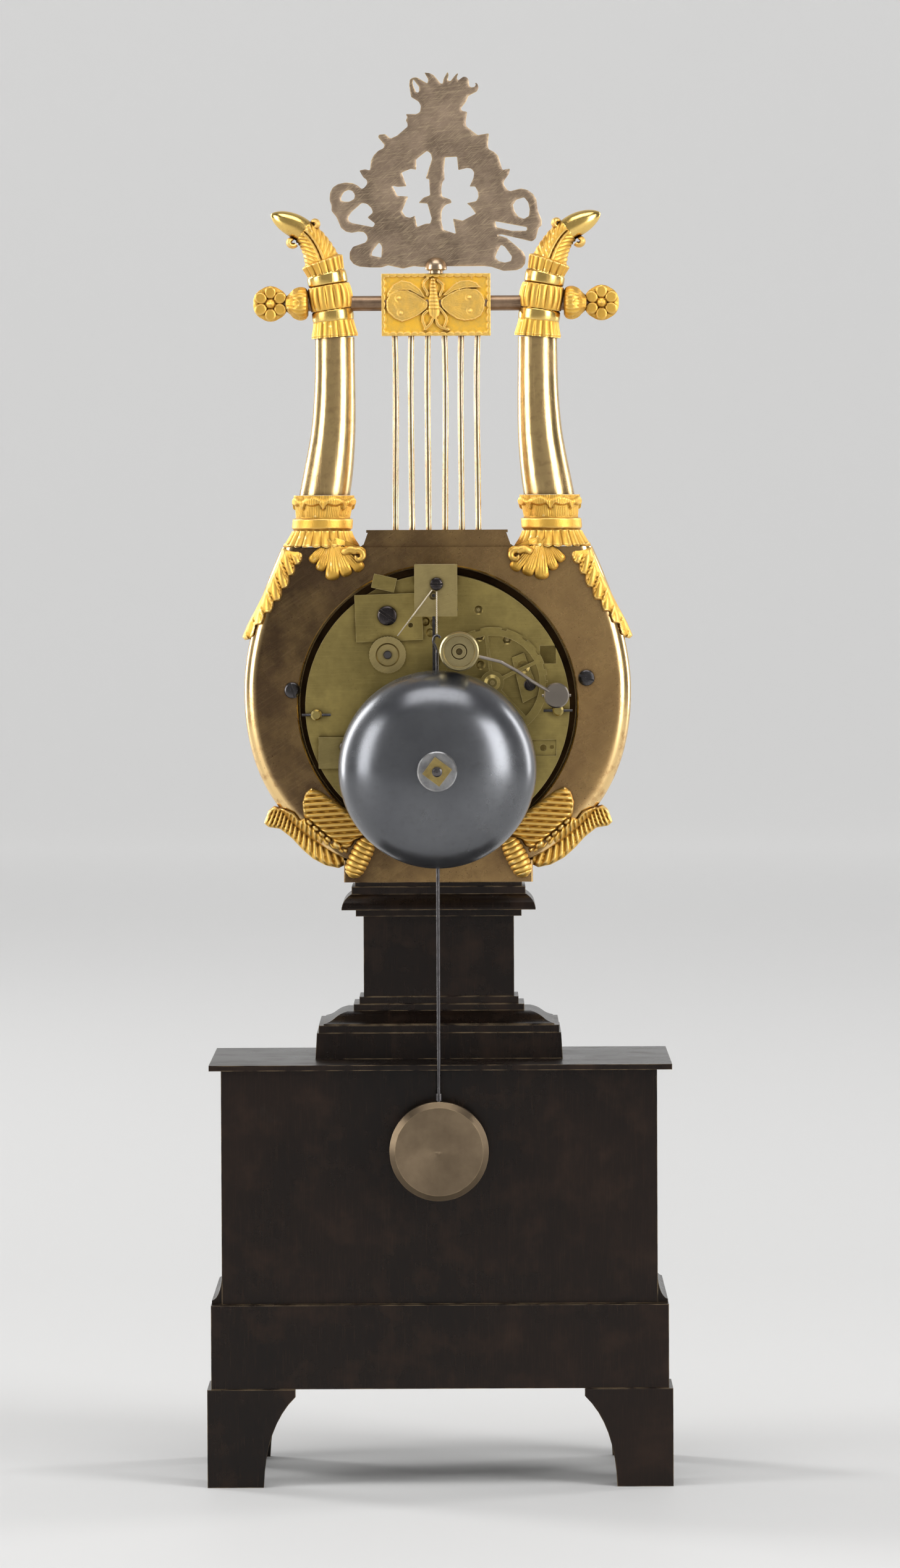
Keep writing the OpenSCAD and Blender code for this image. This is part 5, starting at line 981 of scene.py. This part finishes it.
def makeBell():
    # a smooth turned shell; distances along y run back from its rim
    bell = {"r": 31.9, "rim": -33.25, "deep": 21.0, "wall": 1.3, "bore": 2.7, "z": 232.5, "around": 160}
    outer = []
    for i in range(61):
        t = math.pi/2*i/60
        outer.append((bell["r"]*math.cos(t)**0.80, bell["rim"] - bell["deep"]*math.sin(t)**0.86))
    outer = [p for p in outer if p[0] > bell["bore"]] + [(bell["bore"], bell["rim"] - bell["deep"])]
    inner = []
    for r, y in reversed(outer):
        thick = bell["wall"]*min(1, max(0.0, r - 2)/12)
        inner.append((max(bell["bore"], r - thick), min(bell["rim"], y + bell["wall"])))
    rows = [[(r*math.cos(a), y, bell["z"] + r*math.sin(a)) for a in turns(bell["around"])]
            for r, y in outer + inner]
    rows.append(rows[0])
    shell = Shell()
    shell.grid(rows, wrap=True)
    addPiece("bellShell", shell, ["bellMetal"], ["bell"], sharp=40)


def makeUpperCollars():
    # collars, pleats and the leafy finial with its acorn, turned about one curved axis
    top = {"x": 33.3, "z": 372.8, "around": 160, "acorn": 12.2}
    skirt, lowBand, pleats, highBand, cup = 5.2, 9.1, 17.3, 21.2, 25.8  # where each ends along the axis
    axis = through([(0, 0), (0.4, 5.2), (0.9, 9.2), (2.1, 17.4), (2.9, 21.2), (3.9, 24.5), (5.3, 28.2),
                    (7.2, 31.6), (9.3, 34.1), (12.2, 36.2), (16.5, 38.4), (20.9, 40.5)], 220)
    run = np.concatenate([[0], np.cumsum(np.linalg.norm(np.diff(axis, axis=0), axis=1))])
    acorn = run[-1] - top["acorn"]

    def band(s, low, high, rise):
        # a plain band with a small bead at each end and a slight swell between
        return rise*math.sin(math.pi*(s - low)/3.9) - 0.45*max(0, 1 - min(s - low, high - s)/0.5)**2

    def radius(s, a):
        # s runs along the axis from the arm to the acorn's tip
        ridge = abs(math.cos(8*a))**0.6
        if s < skirt:
            flared = 6.7 + 1.2*(1 - s/skirt)**1.3 - 0.55*(1 - ridge)*(1 - 0.4*s/skirt)
            return flared*(1 if s > 0.5 else 0.97)
        if s < lowBand:
            return 6.75 + band(s, skirt, lowBand, 0.15)
        if s < pleats:
            swell = math.sin(math.pi*(s - lowBand)/(pleats - lowBand))
            return 6.7 + 0.75*swell**0.7 - 0.6*(1 - ridge)*swell**0.4
        if s < highBand:
            return 6.5 + band(s, pleats, highBand, 0.12)
        if s < cup:
            u = (s - highBand)/(cup - highBand)
            return 6.2 + 1.0*u**1.2 - 0.55*(1 - ridge)*(1 - 0.2*u) - 1.3*max(0, (u - 0.84)/0.16)**2
        if s < acorn:
            u = (s - cup)/(acorn - cup)
            side = abs(math.cos(a))
            seam = math.exp(-((side - 0.12)/0.11)**2)
            rib = abs(math.sin(math.pi*(s*0.56 - 3.0*side)))**0.7
            carved = 0.5*seam + 0.34*(rib - 0.5)*min(1, 6*u + 0.3)*(1 - seam) - 0.4*math.exp(-(side/0.06)**2)
            return 5.7 - 2.1*u + 0.5*u**4 + carved
        u = (s - acorn)/top["acorn"]
        return (3.95 + 0.5*u)*(1 - u**2.3)**0.7 if u < 1 else 0.02

    rows = []
    for i, (p, s) in enumerate(zip(axis, run)):
        d = axis[min(i + 1, len(axis) - 1)] - axis[max(i - 1, 0)]
        d = d/np.linalg.norm(d)
        x, z = top["x"] + p[0], top["z"] + p[1]
        row = []
        for a in turns(top["around"]):
            r = radius(s, a)
            row.append((x + r*math.cos(a)*d[1], lyre["midY"] + r*math.sin(a), z - r*math.cos(a)*d[0]))
        rows.append(row)
    shell = Shell()
    shell.grid(rows, wrap=True, cap=(True, True))
    # curled tips of the two leaves at the acorn's neck
    for centre, start, way in (((13.9, 31.4), -2.6, 1), ((6.7, 37.4), -1.0, -1)):
        spiral = []
        for j in range(40):
            t = j/39
            a = start + way*t*4.6
            r = 1.5*(1 - 0.72*t)
            x, z = top["x"] + centre[0], top["z"] + centre[1]
            spiral.append((x + r*math.cos(a), lyre["midY"], z + r*math.sin(a)))
        sweep(shell, spiral, [0.85 + 0.25*math.sin(math.pi*j/39) for j in range(40)], 20, flat=3.0)
    kind = []
    for s in run[:-1]:
        bright = s > acorn or skirt <= s < lowBand or pleats <= s < highBand
        kind += [int(bright)]*top["around"]
    kind += [0]*(len(shell.faces) - len(kind))
    addPiece("upperCollars", shell.mirrored(), ["matteGilt", "polishedGold"], ["upper_collars"],
             pick=lambda i, middle: kind[i % len(kind)], sharp=55)


def makeRosettes():
    # a six-petalled flower at each end of the crossbar, with a bud between it and the arm
    rose = {"x": 54.4, "z": 383.9, "r": 5.85, "out": 3.7, "petal": (2.15, 1.95), "around": 120,
            "steps": 34}

    def height(r, a):
        # how far the flower stands out at a distance and an angle from its middle
        best = 1.1*math.sqrt(max(0, 1 - (r/rose["r"])**6))
        for k in range(6):
            b = math.radians(30 + 60*k)
            px, pz = r*math.cos(a) - rose["out"]*math.cos(b), r*math.sin(a) - rose["out"]*math.sin(b)
            along, across = px*math.cos(b) + pz*math.sin(b), -px*math.sin(b) + pz*math.cos(b)
            q = 1 - (along/rose["petal"][0])**2 - (across/rose["petal"][1])**2
            if q > 0:
                best = max(best, 0.9 + 1.25*q**0.28 - 0.35*max(0, q - 0.45))
        q = 1 - (r/1.65)**2
        return max(best, 0.9 + 1.75*q**0.4 + 0.35*max(0, 1 - (r/0.6)**2)) if q > 0 else best

    shell = Shell()
    rows = []
    for side in (-1, 1):
        made = []
        for j in range(rose["steps"] + 1):
            r = rose["r"]*math.sin(math.pi/2*j/rose["steps"])
            row = []
            for a in turns(rose["around"]):
                notch = 0.035*(1 - abs(math.cos(3*(a - math.radians(30))))) if j > rose["steps"]*0.7 else 0
                out = r*(1 - notch)
                y = lyre["midY"] + side*height(r, a)
                row.append((rose["x"] + out*math.cos(a), y, rose["z"] + out*math.sin(a)))
            made.append(row)
        rows += made if side == -1 else made[::-1]
    shell.grid(rows, wrap=True, cap=(True, True))
    # bud between the flower and the arm
    profile = through([(42.0, 3.6), (42.8, 4.7), (44.6, 5.1), (46.6, 4.5), (48.0, 3.3), (49.4, 2.3)], 60)
    made = []
    for i, (x, r) in enumerate(profile):
        u = i/59
        row = []
        for a in turns(96):
            leafEdge = 0.95 - 0.55*abs(math.cos(3*a))
            pleats = 0.035*abs(math.sin(12*a)) + 0.02*math.cos(3*a)
            q = r*(1 + pleats + (0.05 if u < leafEdge else -0.02))
            row.append((x, lyre["midY"] + q*math.cos(a), rose["z"] + q*math.sin(a)))
        made.append(row)
    shell.grid(made, wrap=True, cap=(True, True))
    addPiece("rosettes", shell.mirrored(), ["matteGilt"], ["rosettes"], sharp=60)


def makePlaque():
    # a punched ground inside a beaded rim, and a butterfly: four wings, legs and feelers, a ringed trunk
    plaque = {"wide": 35.8, "high": 20.4, "rear": 24.45, "front": 29.75, "z": 383.4, "rim": 1.05,
              "ground": 0.6, "pitch": 2.35, "step": 0.17, "punches": 900}
    foreLeft = [(-3.2, 2.0), (-5.2, 5.2), (-8.2, 7.4), (-11.4, 8.1), (-14.2, 6.6), (-16.0, 4.0),
                (-16.2, 2.2), (-12.5, 4.6), (-8.6, 4.6), (-5, 2.6)]
    hindLeft = [(-2.6, 0.9), (-6.2, 3.4), (-9.4, 4.9), (-12.8, 4.8), (-15.4, 3.3), (-16.4, 1.4),
                (-16.5, -1.0), (-15.9, -2.6), (-13.8, -4.6), (-11.2, -5.8), (-8.4, -4.9), (-5.6, -3.5),
                (-3.4, -1.8), (-2.6, -0.6)]
    foreRight = [(1.6, 2.8), (3.6, 4.6), (5.6, 6.6), (8.2, 7.9), (11.0, 8.1), (13.4, 7.2), (14.9, 5.4),
                 (12.6, 5.4), (9.6, 5.2), (6.2, 4.4), (3.4, 2.8)]
    hindRight = [(1.6, 1.7), (3.8, 3.3), (6.6, 4.7), (10, 5.4), (13.4, 5.1), (15.2, 3.4), (16.2, 1.0),
                 (15.9, -1.7), (14.8, -3.8), (12.6, -5.1), (9.4, -5.5), (6.8, -4.9), (4.2, -3.2),
                 (2.1, -1.4), (1.4, 0.2)]
    limbs = [[(-2.8, 8.6), (-3.9, 7.4), (-3.9, 5.6), (-3.0, 4.2), (-2.8, 3.2)],
             [(0.6, 8.0), (2.1, 6.6), (2.2, 5.0), (1.5, 3.6), (1.3, 2.9)],
             [(-3.0, -2.2), (-4.2, -3.4), (-4.4, -5.2), (-3.9, -6.6), (-3.4, -8.0)],
             [(1.2, -1.2), (2.4, -2.6), (3.4, -4.4), (3.2, -6.0), (2.7, -7.2)],
             [(-1.1, -4.8), (-1.6, -6.0), (-2.5, -7.0), (-3.6, -8.1)],
             [(0, -4.9), (0.6, -6.6), (1.9, -7.6), (3.9, -8.2)]]
    halfX, halfZ, step = plaque["wide"]/2, plaque["high"]/2, plaque["step"]
    xs = np.arange(-halfX, halfX + step/2, step)
    zs = np.arange(-halfZ, halfZ + step/2, step)
    xs[-1], zs[-1] = halfX, halfZ
    gx, gz = np.meshgrid(xs, zs)
    points = np.stack([gx.ravel(), gz.ravel()], axis=1)
    x, z = points[:, 0], points[:, 1]
    rng = np.random.default_rng(11)
    punches = rng.uniform((-18, -10.5), (18, 10.5), (plaque["punches"], 2))
    stipple = np.zeros(len(points))
    for px, pz in punches:
        near = np.abs(x - px) < 0.6
        d = (x[near] - px)**2 + (z[near] - pz)**2
        stipple[near] = np.maximum(stipple[near], np.exp(-d/0.07))
    height = -plaque["ground"] - 0.16*stipple
    edgeX, edgeZ = halfX - np.abs(x), halfZ - np.abs(z)
    along = np.where(edgeX < edgeZ, z, x)
    bead = np.abs(np.cos(math.pi*along/plaque["pitch"]))**0.6
    rim = np.minimum(edgeX, edgeZ)
    width = plaque["rim"]*(0.75 + 0.5*bead)
    border = 1/(1 + np.exp((rim - width)/0.09))
    height = height*(1 - border) + border*(-0.12 + 0.12*bead*np.clip(rim/0.3, 0, 1))
    wings = ((foreLeft, (-2.6, 1.6), 0.45), (foreRight, (1.4, 2.2), 0.45), (hindLeft, (-2.2, 0.1), 0.62),
             (hindRight, (1.4, 0.4), 0.62))  # outline, root and height
    for wing, root, raised in wings:
        loop = softened(wing, 0.6, 2)
        inside = within(points, loop)
        gap = np.where(inside, gapTo(points, loop), 0)
        turn = np.arctan2(z - root[1], x - root[0])
        reach = np.hypot(x - root[0], z - root[1])
        veins = 0.11*np.abs(np.sin(turn*30))*np.clip(1.4 - reach/8, 0, 1)
        veins = veins + 0.10*np.abs(np.sin(turn*46))*np.exp(-((gap - 0.5)/0.5)**2)
        level = -plaque["ground"] - 0.05*stipple + raised*np.clip(gap/0.28, 0, 1)**0.5
        level = level + 0.22*np.exp(-((gap - 0.3)/0.22)**2) - veins
        level += 0.12*np.sin(np.clip(gap/3.4, 0, 1)*math.pi)
        height = np.where(inside, np.maximum(height, level), height)
    for dot in ((-12.3, 2.1), (-11.6, -2.7), (10.9, 2.3), (11.2, -2.1)):
        d = np.hypot(x - dot[0], z - dot[1])
        height = height + 0.34*np.exp(-(d/0.42)**2) - 0.16*np.exp(-((d - 0.85)/0.3)**2)
    for limb in limbs:
        d = gapTo(points, through(limb, 24), False)
        groove = 0.25*np.exp(-(d/0.12)**2)*(d < 0.5)
        height = np.maximum(height, -plaque["ground"] + 0.95*np.sqrt(np.clip(1 - (d/0.55)**2, 0, 1)) - groove)
    axisX = -0.75 - 0.08*(z - 2)*0.5
    spine = [(8.7, 0.5), (8.2, 0.95), (6, 1.25), (3, 1.6), (0, 1.95), (-2.5, 2.05), (-3.6, 1.75),
             (-4.6, 0.7), (-4.9, 0.05)]
    half = np.interp(-z, [-p[0] for p in spine], [p[1] for p in spine])
    inBody = (z < 8.7) & (z > -4.9)
    ring = np.where(z > -1.6, 0.05 + 0.42*np.abs(np.sin(math.pi*(z + 1.6)/1.18))**0.6, 0.34)
    trunk = -plaque["ground"] + 1.1*np.sqrt(np.clip(1 - ((x - axisX)/half)**2, 0, 1))*(0.6 + ring)
    trunk = trunk - 0.12*np.exp(-((x - axisX)/0.14)**2)
    height = np.where(inBody & (np.abs(x - axisX) < half), np.maximum(height, trunk), height)
    height = np.clip(height, -1.3, 0.55)
    shell = Shell()
    table = height.reshape(gx.shape)
    rows = [[(across, plaque["rear"] - h, up + plaque["z"]) for across, h, up in zip(*line)]
            for line in zip(gx, table, gz)]
    shell.grid(rows)
    # walls and front, following the edge of the rear face
    edge = rows[0] + [row[-1] for row in rows[1:]] + rows[-1][-2::-1] + [row[0] for row in rows[-2:0:-1]]
    back = [(p[0], plaque["front"], p[2]) for p in edge]
    shell.grid([edge, back], wrap=True, cap=(False, True))
    addPiece("butterflyPlaque", shell, ["plaqueGilt"], ["plaque"], sharp=70)


def makeCresting():
    # pierced wreath with ribbons and a flame on top, filed at the rear and moulded in front
    crest = {"z": 394.3, "rear": 26.15, "front": 28.35}
    edge = [(-4.7, 1.5), (-7.2, 1.8), (-10.8, 1), (-15.7, 2.1), (-17.9, 1.4), (-21.5, 1.4), (-25.1, 1.7),
            (-27, 2.5), (-28.3, 4.2), (-28.3, 6.4), (-27.2, 8.2), (-23.1, 9.6), (-22.4, 10.7), (-22.6, 11.9),
            (-23.6, 13), (-25.4, 13.2), (-27.6, 12.8), (-29.5, 13.2), (-31.1, 14.4), (-32.6, 18),
            (-34.2, 20), (-34.2, 21.7), (-34.8, 23.5), (-34.7, 25.8), (-33.8, 27.6), (-32.2, 28.7),
            (-29.7, 29.3), (-27.3, 29.1), (-25.4, 28.2), (-24.3, 27.1), (-23.3, 27.6), (-22.4, 28.9),
            (-22.6, 30.2), (-23.7, 30.9), (-25, 33.2), (-23.1, 33.6), (-21.5, 33.2), (-21.1, 36.5),
            (-20.2, 38.2), (-18.8, 39.6), (-17, 40.5), (-16.7, 41.6), (-18.8, 44.1), (-18.5, 44.9),
            (-16.5, 45.1), (-14.7, 43.6), (-12.5, 44.6), (-9.1, 47.5), (-9.1, 48.6), (-9.7, 49.6),
            (-9.1, 50.5), (-9.7, 51.6), (-6.1, 51.6), (-5, 52.3), (-4.7, 54.3), (-5.4, 55.7), (-7.9, 57.2),
            (-8.5, 61.1), (-8.3, 62.9), (-7.2, 63.6), (-5.9, 63.6), (-2.5, 61.6), (-2.2, 62.9), (-3.5, 65.2),
            (-1.8, 65), (-0.4, 64.3), (1.8, 61.6), (2.5, 61.5), (2.8, 63.1), (4.1, 65.4), (4.5, 64.5),
            (4.1, 62.7), (5, 62.3), (7, 64.7), (7.7, 64.9), (7.1, 63.6), (7.5, 62.5), (9.3, 63.8),
            (10.5, 63.6), (11.1, 62.5), (11.1, 60.9), (11.8, 60.2), (13, 60.4), (13.4, 61.3), (13, 61.8),
            (13.8, 61.6), (14.3, 60.4), (13.8, 59), (10.9, 57.5), (10.2, 55.7), (8.4, 53.4), (8.9, 52.5),
            (10.5, 52.3), (10, 48.9), (10.2, 47.5), (13.9, 44.6), (17.6, 45.2), (17.2, 41.4), (17.5, 40),
            (19.3, 39.1), (20.6, 37.8), (22, 33.2), (24.5, 33.6), (24.1, 31.9), (22.5, 29.6), (22.3, 28.5),
            (23.6, 26.6), (24.5, 26.2), (28.1, 27.1), (30.2, 26.6), (32, 25.3), (33.1, 23.5), (33.6, 19.6),
            (34.8, 16.7), (34.8, 14.9), (33.8, 14.2), (32.9, 10.7), (31.6, 9.7), (21.6, 12.1), (20.2, 11.9),
            (23.2, 11), (28.6, 6.4), (29.5, 4.6), (29.3, 2.4), (28.2, 1), (26.5, 0.3), (22.2, 0.1),
            (18.4, 1.4), (16.1, 1.7), (2.8, 1.7)]
    holes = [[(-2.7, 39.6), (-1.5, 38.6), (-1.1, 36.9), (-3.2, 30.5), (-2.1, 30.3), (-1.8, 25), (-4, 24.2),
              (-5.6, 22.5), (-2.7, 22.3), (-1.3, 17.3), (-1.8, 15.7), (-3.2, 15.7), (-6.1, 14.6),
              (-6.8, 18.3), (-8.4, 17.6), (-9.9, 18), (-11.1, 19.8), (-9, 24.6), (-12.5, 24.8),
              (-14.2, 28.2), (-12.4, 27.8), (-9.5, 28), (-11.1, 32.5), (-8.1, 33.7), (-6.3, 33.4),
              (-6.3, 36.8), (-3.6, 38.9)],
             [(3.2, 37.4), (7.1, 37.6), (7.5, 33.2), (10.4, 33.9), (11.8, 33.7), (12.7, 32.5), (12.5, 30.7),
              (11.2, 27.8), (13, 27.8), (13.9, 26.2), (14.1, 24.4), (13.4, 23), (10.2, 22.3), (11.4, 21.4),
              (13.2, 18.9), (8.9, 16.6), (5.7, 17.3), (6.6, 12.3), (2.5, 13.7), (1.9, 16.4), (1.9, 19.4),
              (2.5, 20.9), (3.4, 21.9), (5.3, 22.5), (5, 23.5), (2.1, 24.6), (1.9, 27.1), (2.3, 29.4),
              (3, 30.2), (2.8, 33.4)],
             [(-31, 24.6), (-30.1, 26.2), (-28.6, 26.9), (-27.4, 26.6), (-26.5, 25.3), (-26.7, 23.9),
              (-28.3, 23), (-30.1, 23), (-31.1, 23.5)],
             [(-28.8, 17.8), (-27.7, 19.6), (-24.2, 22.6), (-22.6, 22.3), (-21.1, 20.9), (-20.6, 19.4),
              (-22.4, 17.8), (-19.9, 15.8), (-20.6, 14.6), (-27.6, 16), (-28.6, 16.7)],
             [(-18.6, 9.6), (-17.7, 8.3), (-17.9, 4.6), (-21.1, 5.3), (-20.9, 6.7), (-19.9, 8)],
             [(29.1, 24.2), (30.4, 22.6), (30.9, 20.3), (30.6, 18), (29, 17.1), (27.2, 17.8), (25.9, 19.6),
              (25.4, 21.7), (26.5, 23.4), (28.1, 23.9)],
             [(19.5, 16.4), (30, 14.4), (29.9, 13.2), (25, 13.2), (20, 14.4)],
             [(21.4, 8.7), (22.7, 8), (25, 4.8), (24.7, 3.3), (22.7, 2.8), (20.6, 3.3), (19.5, 4.6),
              (20.2, 6.4)],
             [(-7.2, 63.1), (-5.2, 60.4), (-5.4, 58.6), (-6.3, 58.8), (-7.4, 61.6)]]
    loops = [softened(loop, 1.1) for loop in [edge] + holes]

    def rear(points, gap):
        wave = 0.03*np.sin(points[:, 0]*0.7 + 1)*np.sin(points[:, 1]*0.55)
        return crest["rear"] + wave + 0.22*np.clip(1 - gap/0.35, 0, 1)**2

    def front(points, gap):
        turn = np.arctan2(points[:, 1] - 6, np.abs(points[:, 0]))
        ribs = 0.22*np.abs(np.sin(turn*34))
        return crest["front"] - 0.9*(1 - np.clip(gap/1.8, 0, 1)**0.6) - ribs*np.clip(gap/0.8, 0, 1)

    shell = Shell()
    relief(shell, loops, 0.8, rear, front)
    addPiece("cresting", placed(shell, crest["z"]), ["filedBrass", "matteGilt"], ["cresting"],
             pick=lambda i, middle: int(middle[1] >= crest["rear"] + 0.6), sharp=32)


def makeDialMarks():
    # Roman hours and the minute track, laid on the dial's domed face
    dialMarks = {"dialR": 42.8, "seat": 36.85, "numeral": (28.4, 35.8), "track": (37.4, 39.0), "lift": 0.03,
                 "line": 0.14}
    shapes = {"I": [((0, -1), (0, 1), 0.62)], "V": [((-0.75, 1), (0, -1), 0.62), ((0.75, 1), (0, -1), 0.26)],
              "X": [((-0.8, 1), (0.8, -1), 0.62), ((0.8, 1), (-0.8, -1), 0.26)]}
    wide = {"I": 1.35, "V": 2.3, "X": 2.5}
    numerals = ("I", "II", "III", "IIII", "V", "VI", "VII", "VIII", "IX", "X", "XI", "XII")
    shell = Shell()

    def surface(r):
        # the dial's face at a distance from its middle
        t = (-0.8 + math.sqrt(0.64 + 0.8*(1 - min(1, r/dialMarks["dialR"]))))/0.4
        return dialMarks["seat"] + 0.6*(1 - t)**2 + 2*t*(1 - t) + t*t

    def plate(corners):
        # corners run round the mark as (x, z) about the dial's middle
        low = [(x, surface(math.hypot(x, z)) - 0.1, z + lyre["midZ"]) for x, z in corners]
        high = [(x, surface(math.hypot(x, z)) + dialMarks["lift"], z + lyre["midZ"]) for x, z in corners]
        n = len(corners)
        sides = [(i, (i + 1) % n, n + (i + 1) % n, n + i) for i in range(n)]
        shell.add(low + high, [tuple(range(n, 2*n))] + sides)

    r0, r1 = dialMarks["numeral"]
    for hour, text in enumerate(numerals, 1):
        # the dial faces away from the rear, so hours run the other way in x
        a = math.radians(90 + 30*hour)
        up = np.array((math.cos(a), math.sin(a)))
        across = np.array((-up[1], up[0]))
        total = sum(wide[c] for c in text)
        at = -total/2
        for c in text:
            middle = at + wide[c]/2
            at += wide[c]
            for p, q, thick in shapes[c]:
                foot, head = (up*((r0 + r1)/2 + v*(r1 - r0)/2) + across*(middle + u) for u, v in (p, q))
                side = across*thick/2
                plate([foot - side, foot + side, head + side, head - side])
        half = across*total/2
        for e in (r0, r1):
            inner, outer = up*(e - 0.09), up*(e + 0.09)
            plate([inner - half, outer - half, outer + half, inner + half])
    t0, t1 = dialMarks["track"]
    for minute in range(60):
        a = math.radians(6*minute)
        up = np.array((math.cos(a), math.sin(a)))
        half = np.array((-up[1], up[0]))*(0.28 if minute % 5 == 0 else 0.10)
        plate([up*t0 - half, up*t1 - half, up*t1 + half, up*t0 + half])
    for r in (t0, t1):
        for k in range(180):
            a, b = math.radians(2*k), math.radians(2*k + 2)
            corners = ((r, a), (r + dialMarks["line"], a), (r + dialMarks["line"], b), (r, b))
            plate([(reach*math.cos(turn), reach*math.sin(turn)) for reach, turn in corners])
    addPiece("dialMarks", shell, ["numeralInk"], [], sharp=20)


makeBody()
makeShoulderLeaves()
makeLowerLeaves()
makeLowerCollars()
makeHorns()
makeStrings()
makeUpperCollars()
makeBell()
makeRosettes()
makePlaque()
makeCresting()
makeDialMarks()
print("lyre, leaves and ornaments built")


def makeFloor():
    # a flat floor that rolls up into a backdrop behind the clock and far in front of it, in metres
    room = {"half": 24.0, "bend": 5.4, "radius": 1.6, "high": 7.0, "glow": 0.4}
    profile = [(room["bend"] + room["radius"], room["high"])]
    for i in range(25):
        a = math.pi/2*(1 - i/24)
        profile.append((room["bend"] + room["radius"]*math.sin(a), room["radius"]*(1 - math.cos(a))))
    profile = [(-y, z) for y, z in profile] + profile[::-1]
    verts = [(x, y, z) for y, z in profile for x in (-room["half"], room["half"])]
    mesh = bpy.data.meshes.new("floor")
    mesh.from_pydata(verts, [], [(2*i, 2*i + 1, 2*i + 3, 2*i + 2) for i in range(len(profile) - 1)])
    mesh.shade_smooth()
    floor = bpy.data.objects.new("floor", mesh)
    bpy.context.collection.objects.link(floor)
    look = Look("paleFloor", Base_Color=(0.66, 0.657, 0.65), Emission_Color=(1, 0.995, 0.985))
    rays = addNode(look.tree, "ShaderNodeLightPath").outputs
    seen = sums(look.tree, "MAXIMUM", rays["Is Camera Ray"], rays["Is Glossy Ray"])[0]
    seen = sums(look.tree, "MAXIMUM", seen, rays["Is Transmission Ray"])[0]
    glow = ramp(look.tree, look.place()["Y"], 0.7, 5.0, 0, room["glow"])
    look.give(Emission_Strength=times(look.tree, seen, glow))
    mesh.materials.append(look.done(0.6))


def makeWorld():
    # pale behind the clock, dim behind the camera, so that metal keeps its dark reflections
    world = bpy.data.worlds.new("studio")
    bpy.context.scene.world = world
    world.use_nodes = True
    tree = world.node_tree
    sky = {"dim": (0.11, 0.112, 0.118), "pale": (0.62, 0.62, 0.62)}
    way = split(tree, addNode(tree, "ShaderNodeTexCoord").outputs["Generated"])
    background = tree.nodes["Background"]
    shade = blend(tree, ramp(tree, way["Y"], -0.1, 0.75), sky["dim"], sky["pale"])
    feed(tree, background.inputs["Color"], shade)
    background.inputs["Strength"].default_value = 1.0


def makeLamp(name, place, aimZ, size, power):
    # a soft box that points at the clock's axis, at a height given in metres
    light = bpy.data.lights.new(name, "AREA")
    light.shape = "RECTANGLE"
    light.size, light.size_y = size
    light.energy = power
    lamp = bpy.data.objects.new(name, light)
    bpy.context.collection.objects.link(lamp)
    lamp.location = place
    lamp.visible_camera = False
    lamp.rotation_euler = (Vector((0, 0, aimZ)) - Vector(place)).to_track_quat("-Z", "Y").to_euler()


def makeCamera():
    view = {"place": (0.0102, -2.6, 0.3128), "yaw": -0.0024, "pitch": -0.0331, "roll": -0.0044, "lens": 183.3,
            "sensor": 36.0, "far": 60}
    data = bpy.data.cameras.new("viewCamera")
    data.lens = view["lens"]
    data.sensor_width = view["sensor"]
    data.clip_end = view["far"]
    camera = bpy.data.objects.new("viewCamera", data)
    bpy.context.collection.objects.link(camera)
    camera.location = view["place"]
    level = math.cos(view["pitch"])
    forward = Vector((math.sin(view["yaw"])*level, math.cos(view["yaw"])*level, math.sin(view["pitch"])))
    turn = forward.to_track_quat("-Z", "Y")
    camera.rotation_mode = "QUATERNION"
    camera.rotation_quaternion = turn @ Quaternion((0, 0, 1), view["roll"])
    bpy.context.scene.camera = camera


makeFloor()
makeWorld()
makeLamp("softRight", (2.8, -2.32, 1.05), 0.25, (1.44, 3.2), 118)
makeLamp("softLeft", (-3.36, -1.44, 1.05), 0.25, (1.44, 3.2), 92)
makeLamp("rimLeft", (-2.56, 2.08, 1.13), 0.25, (0.8, 2.9), 77)
makeLamp("rimRight", (3.04, 1.6, 1.13), 0.25, (0.8, 2.9), 56)
makeLamp("softTop", (0.0, -0.96, 3.1), 0.2, (2.5, 1.45), 44)
makeCamera()
bpy.context.scene.view_settings.view_transform = "Standard"
print("stage, light and camera set")
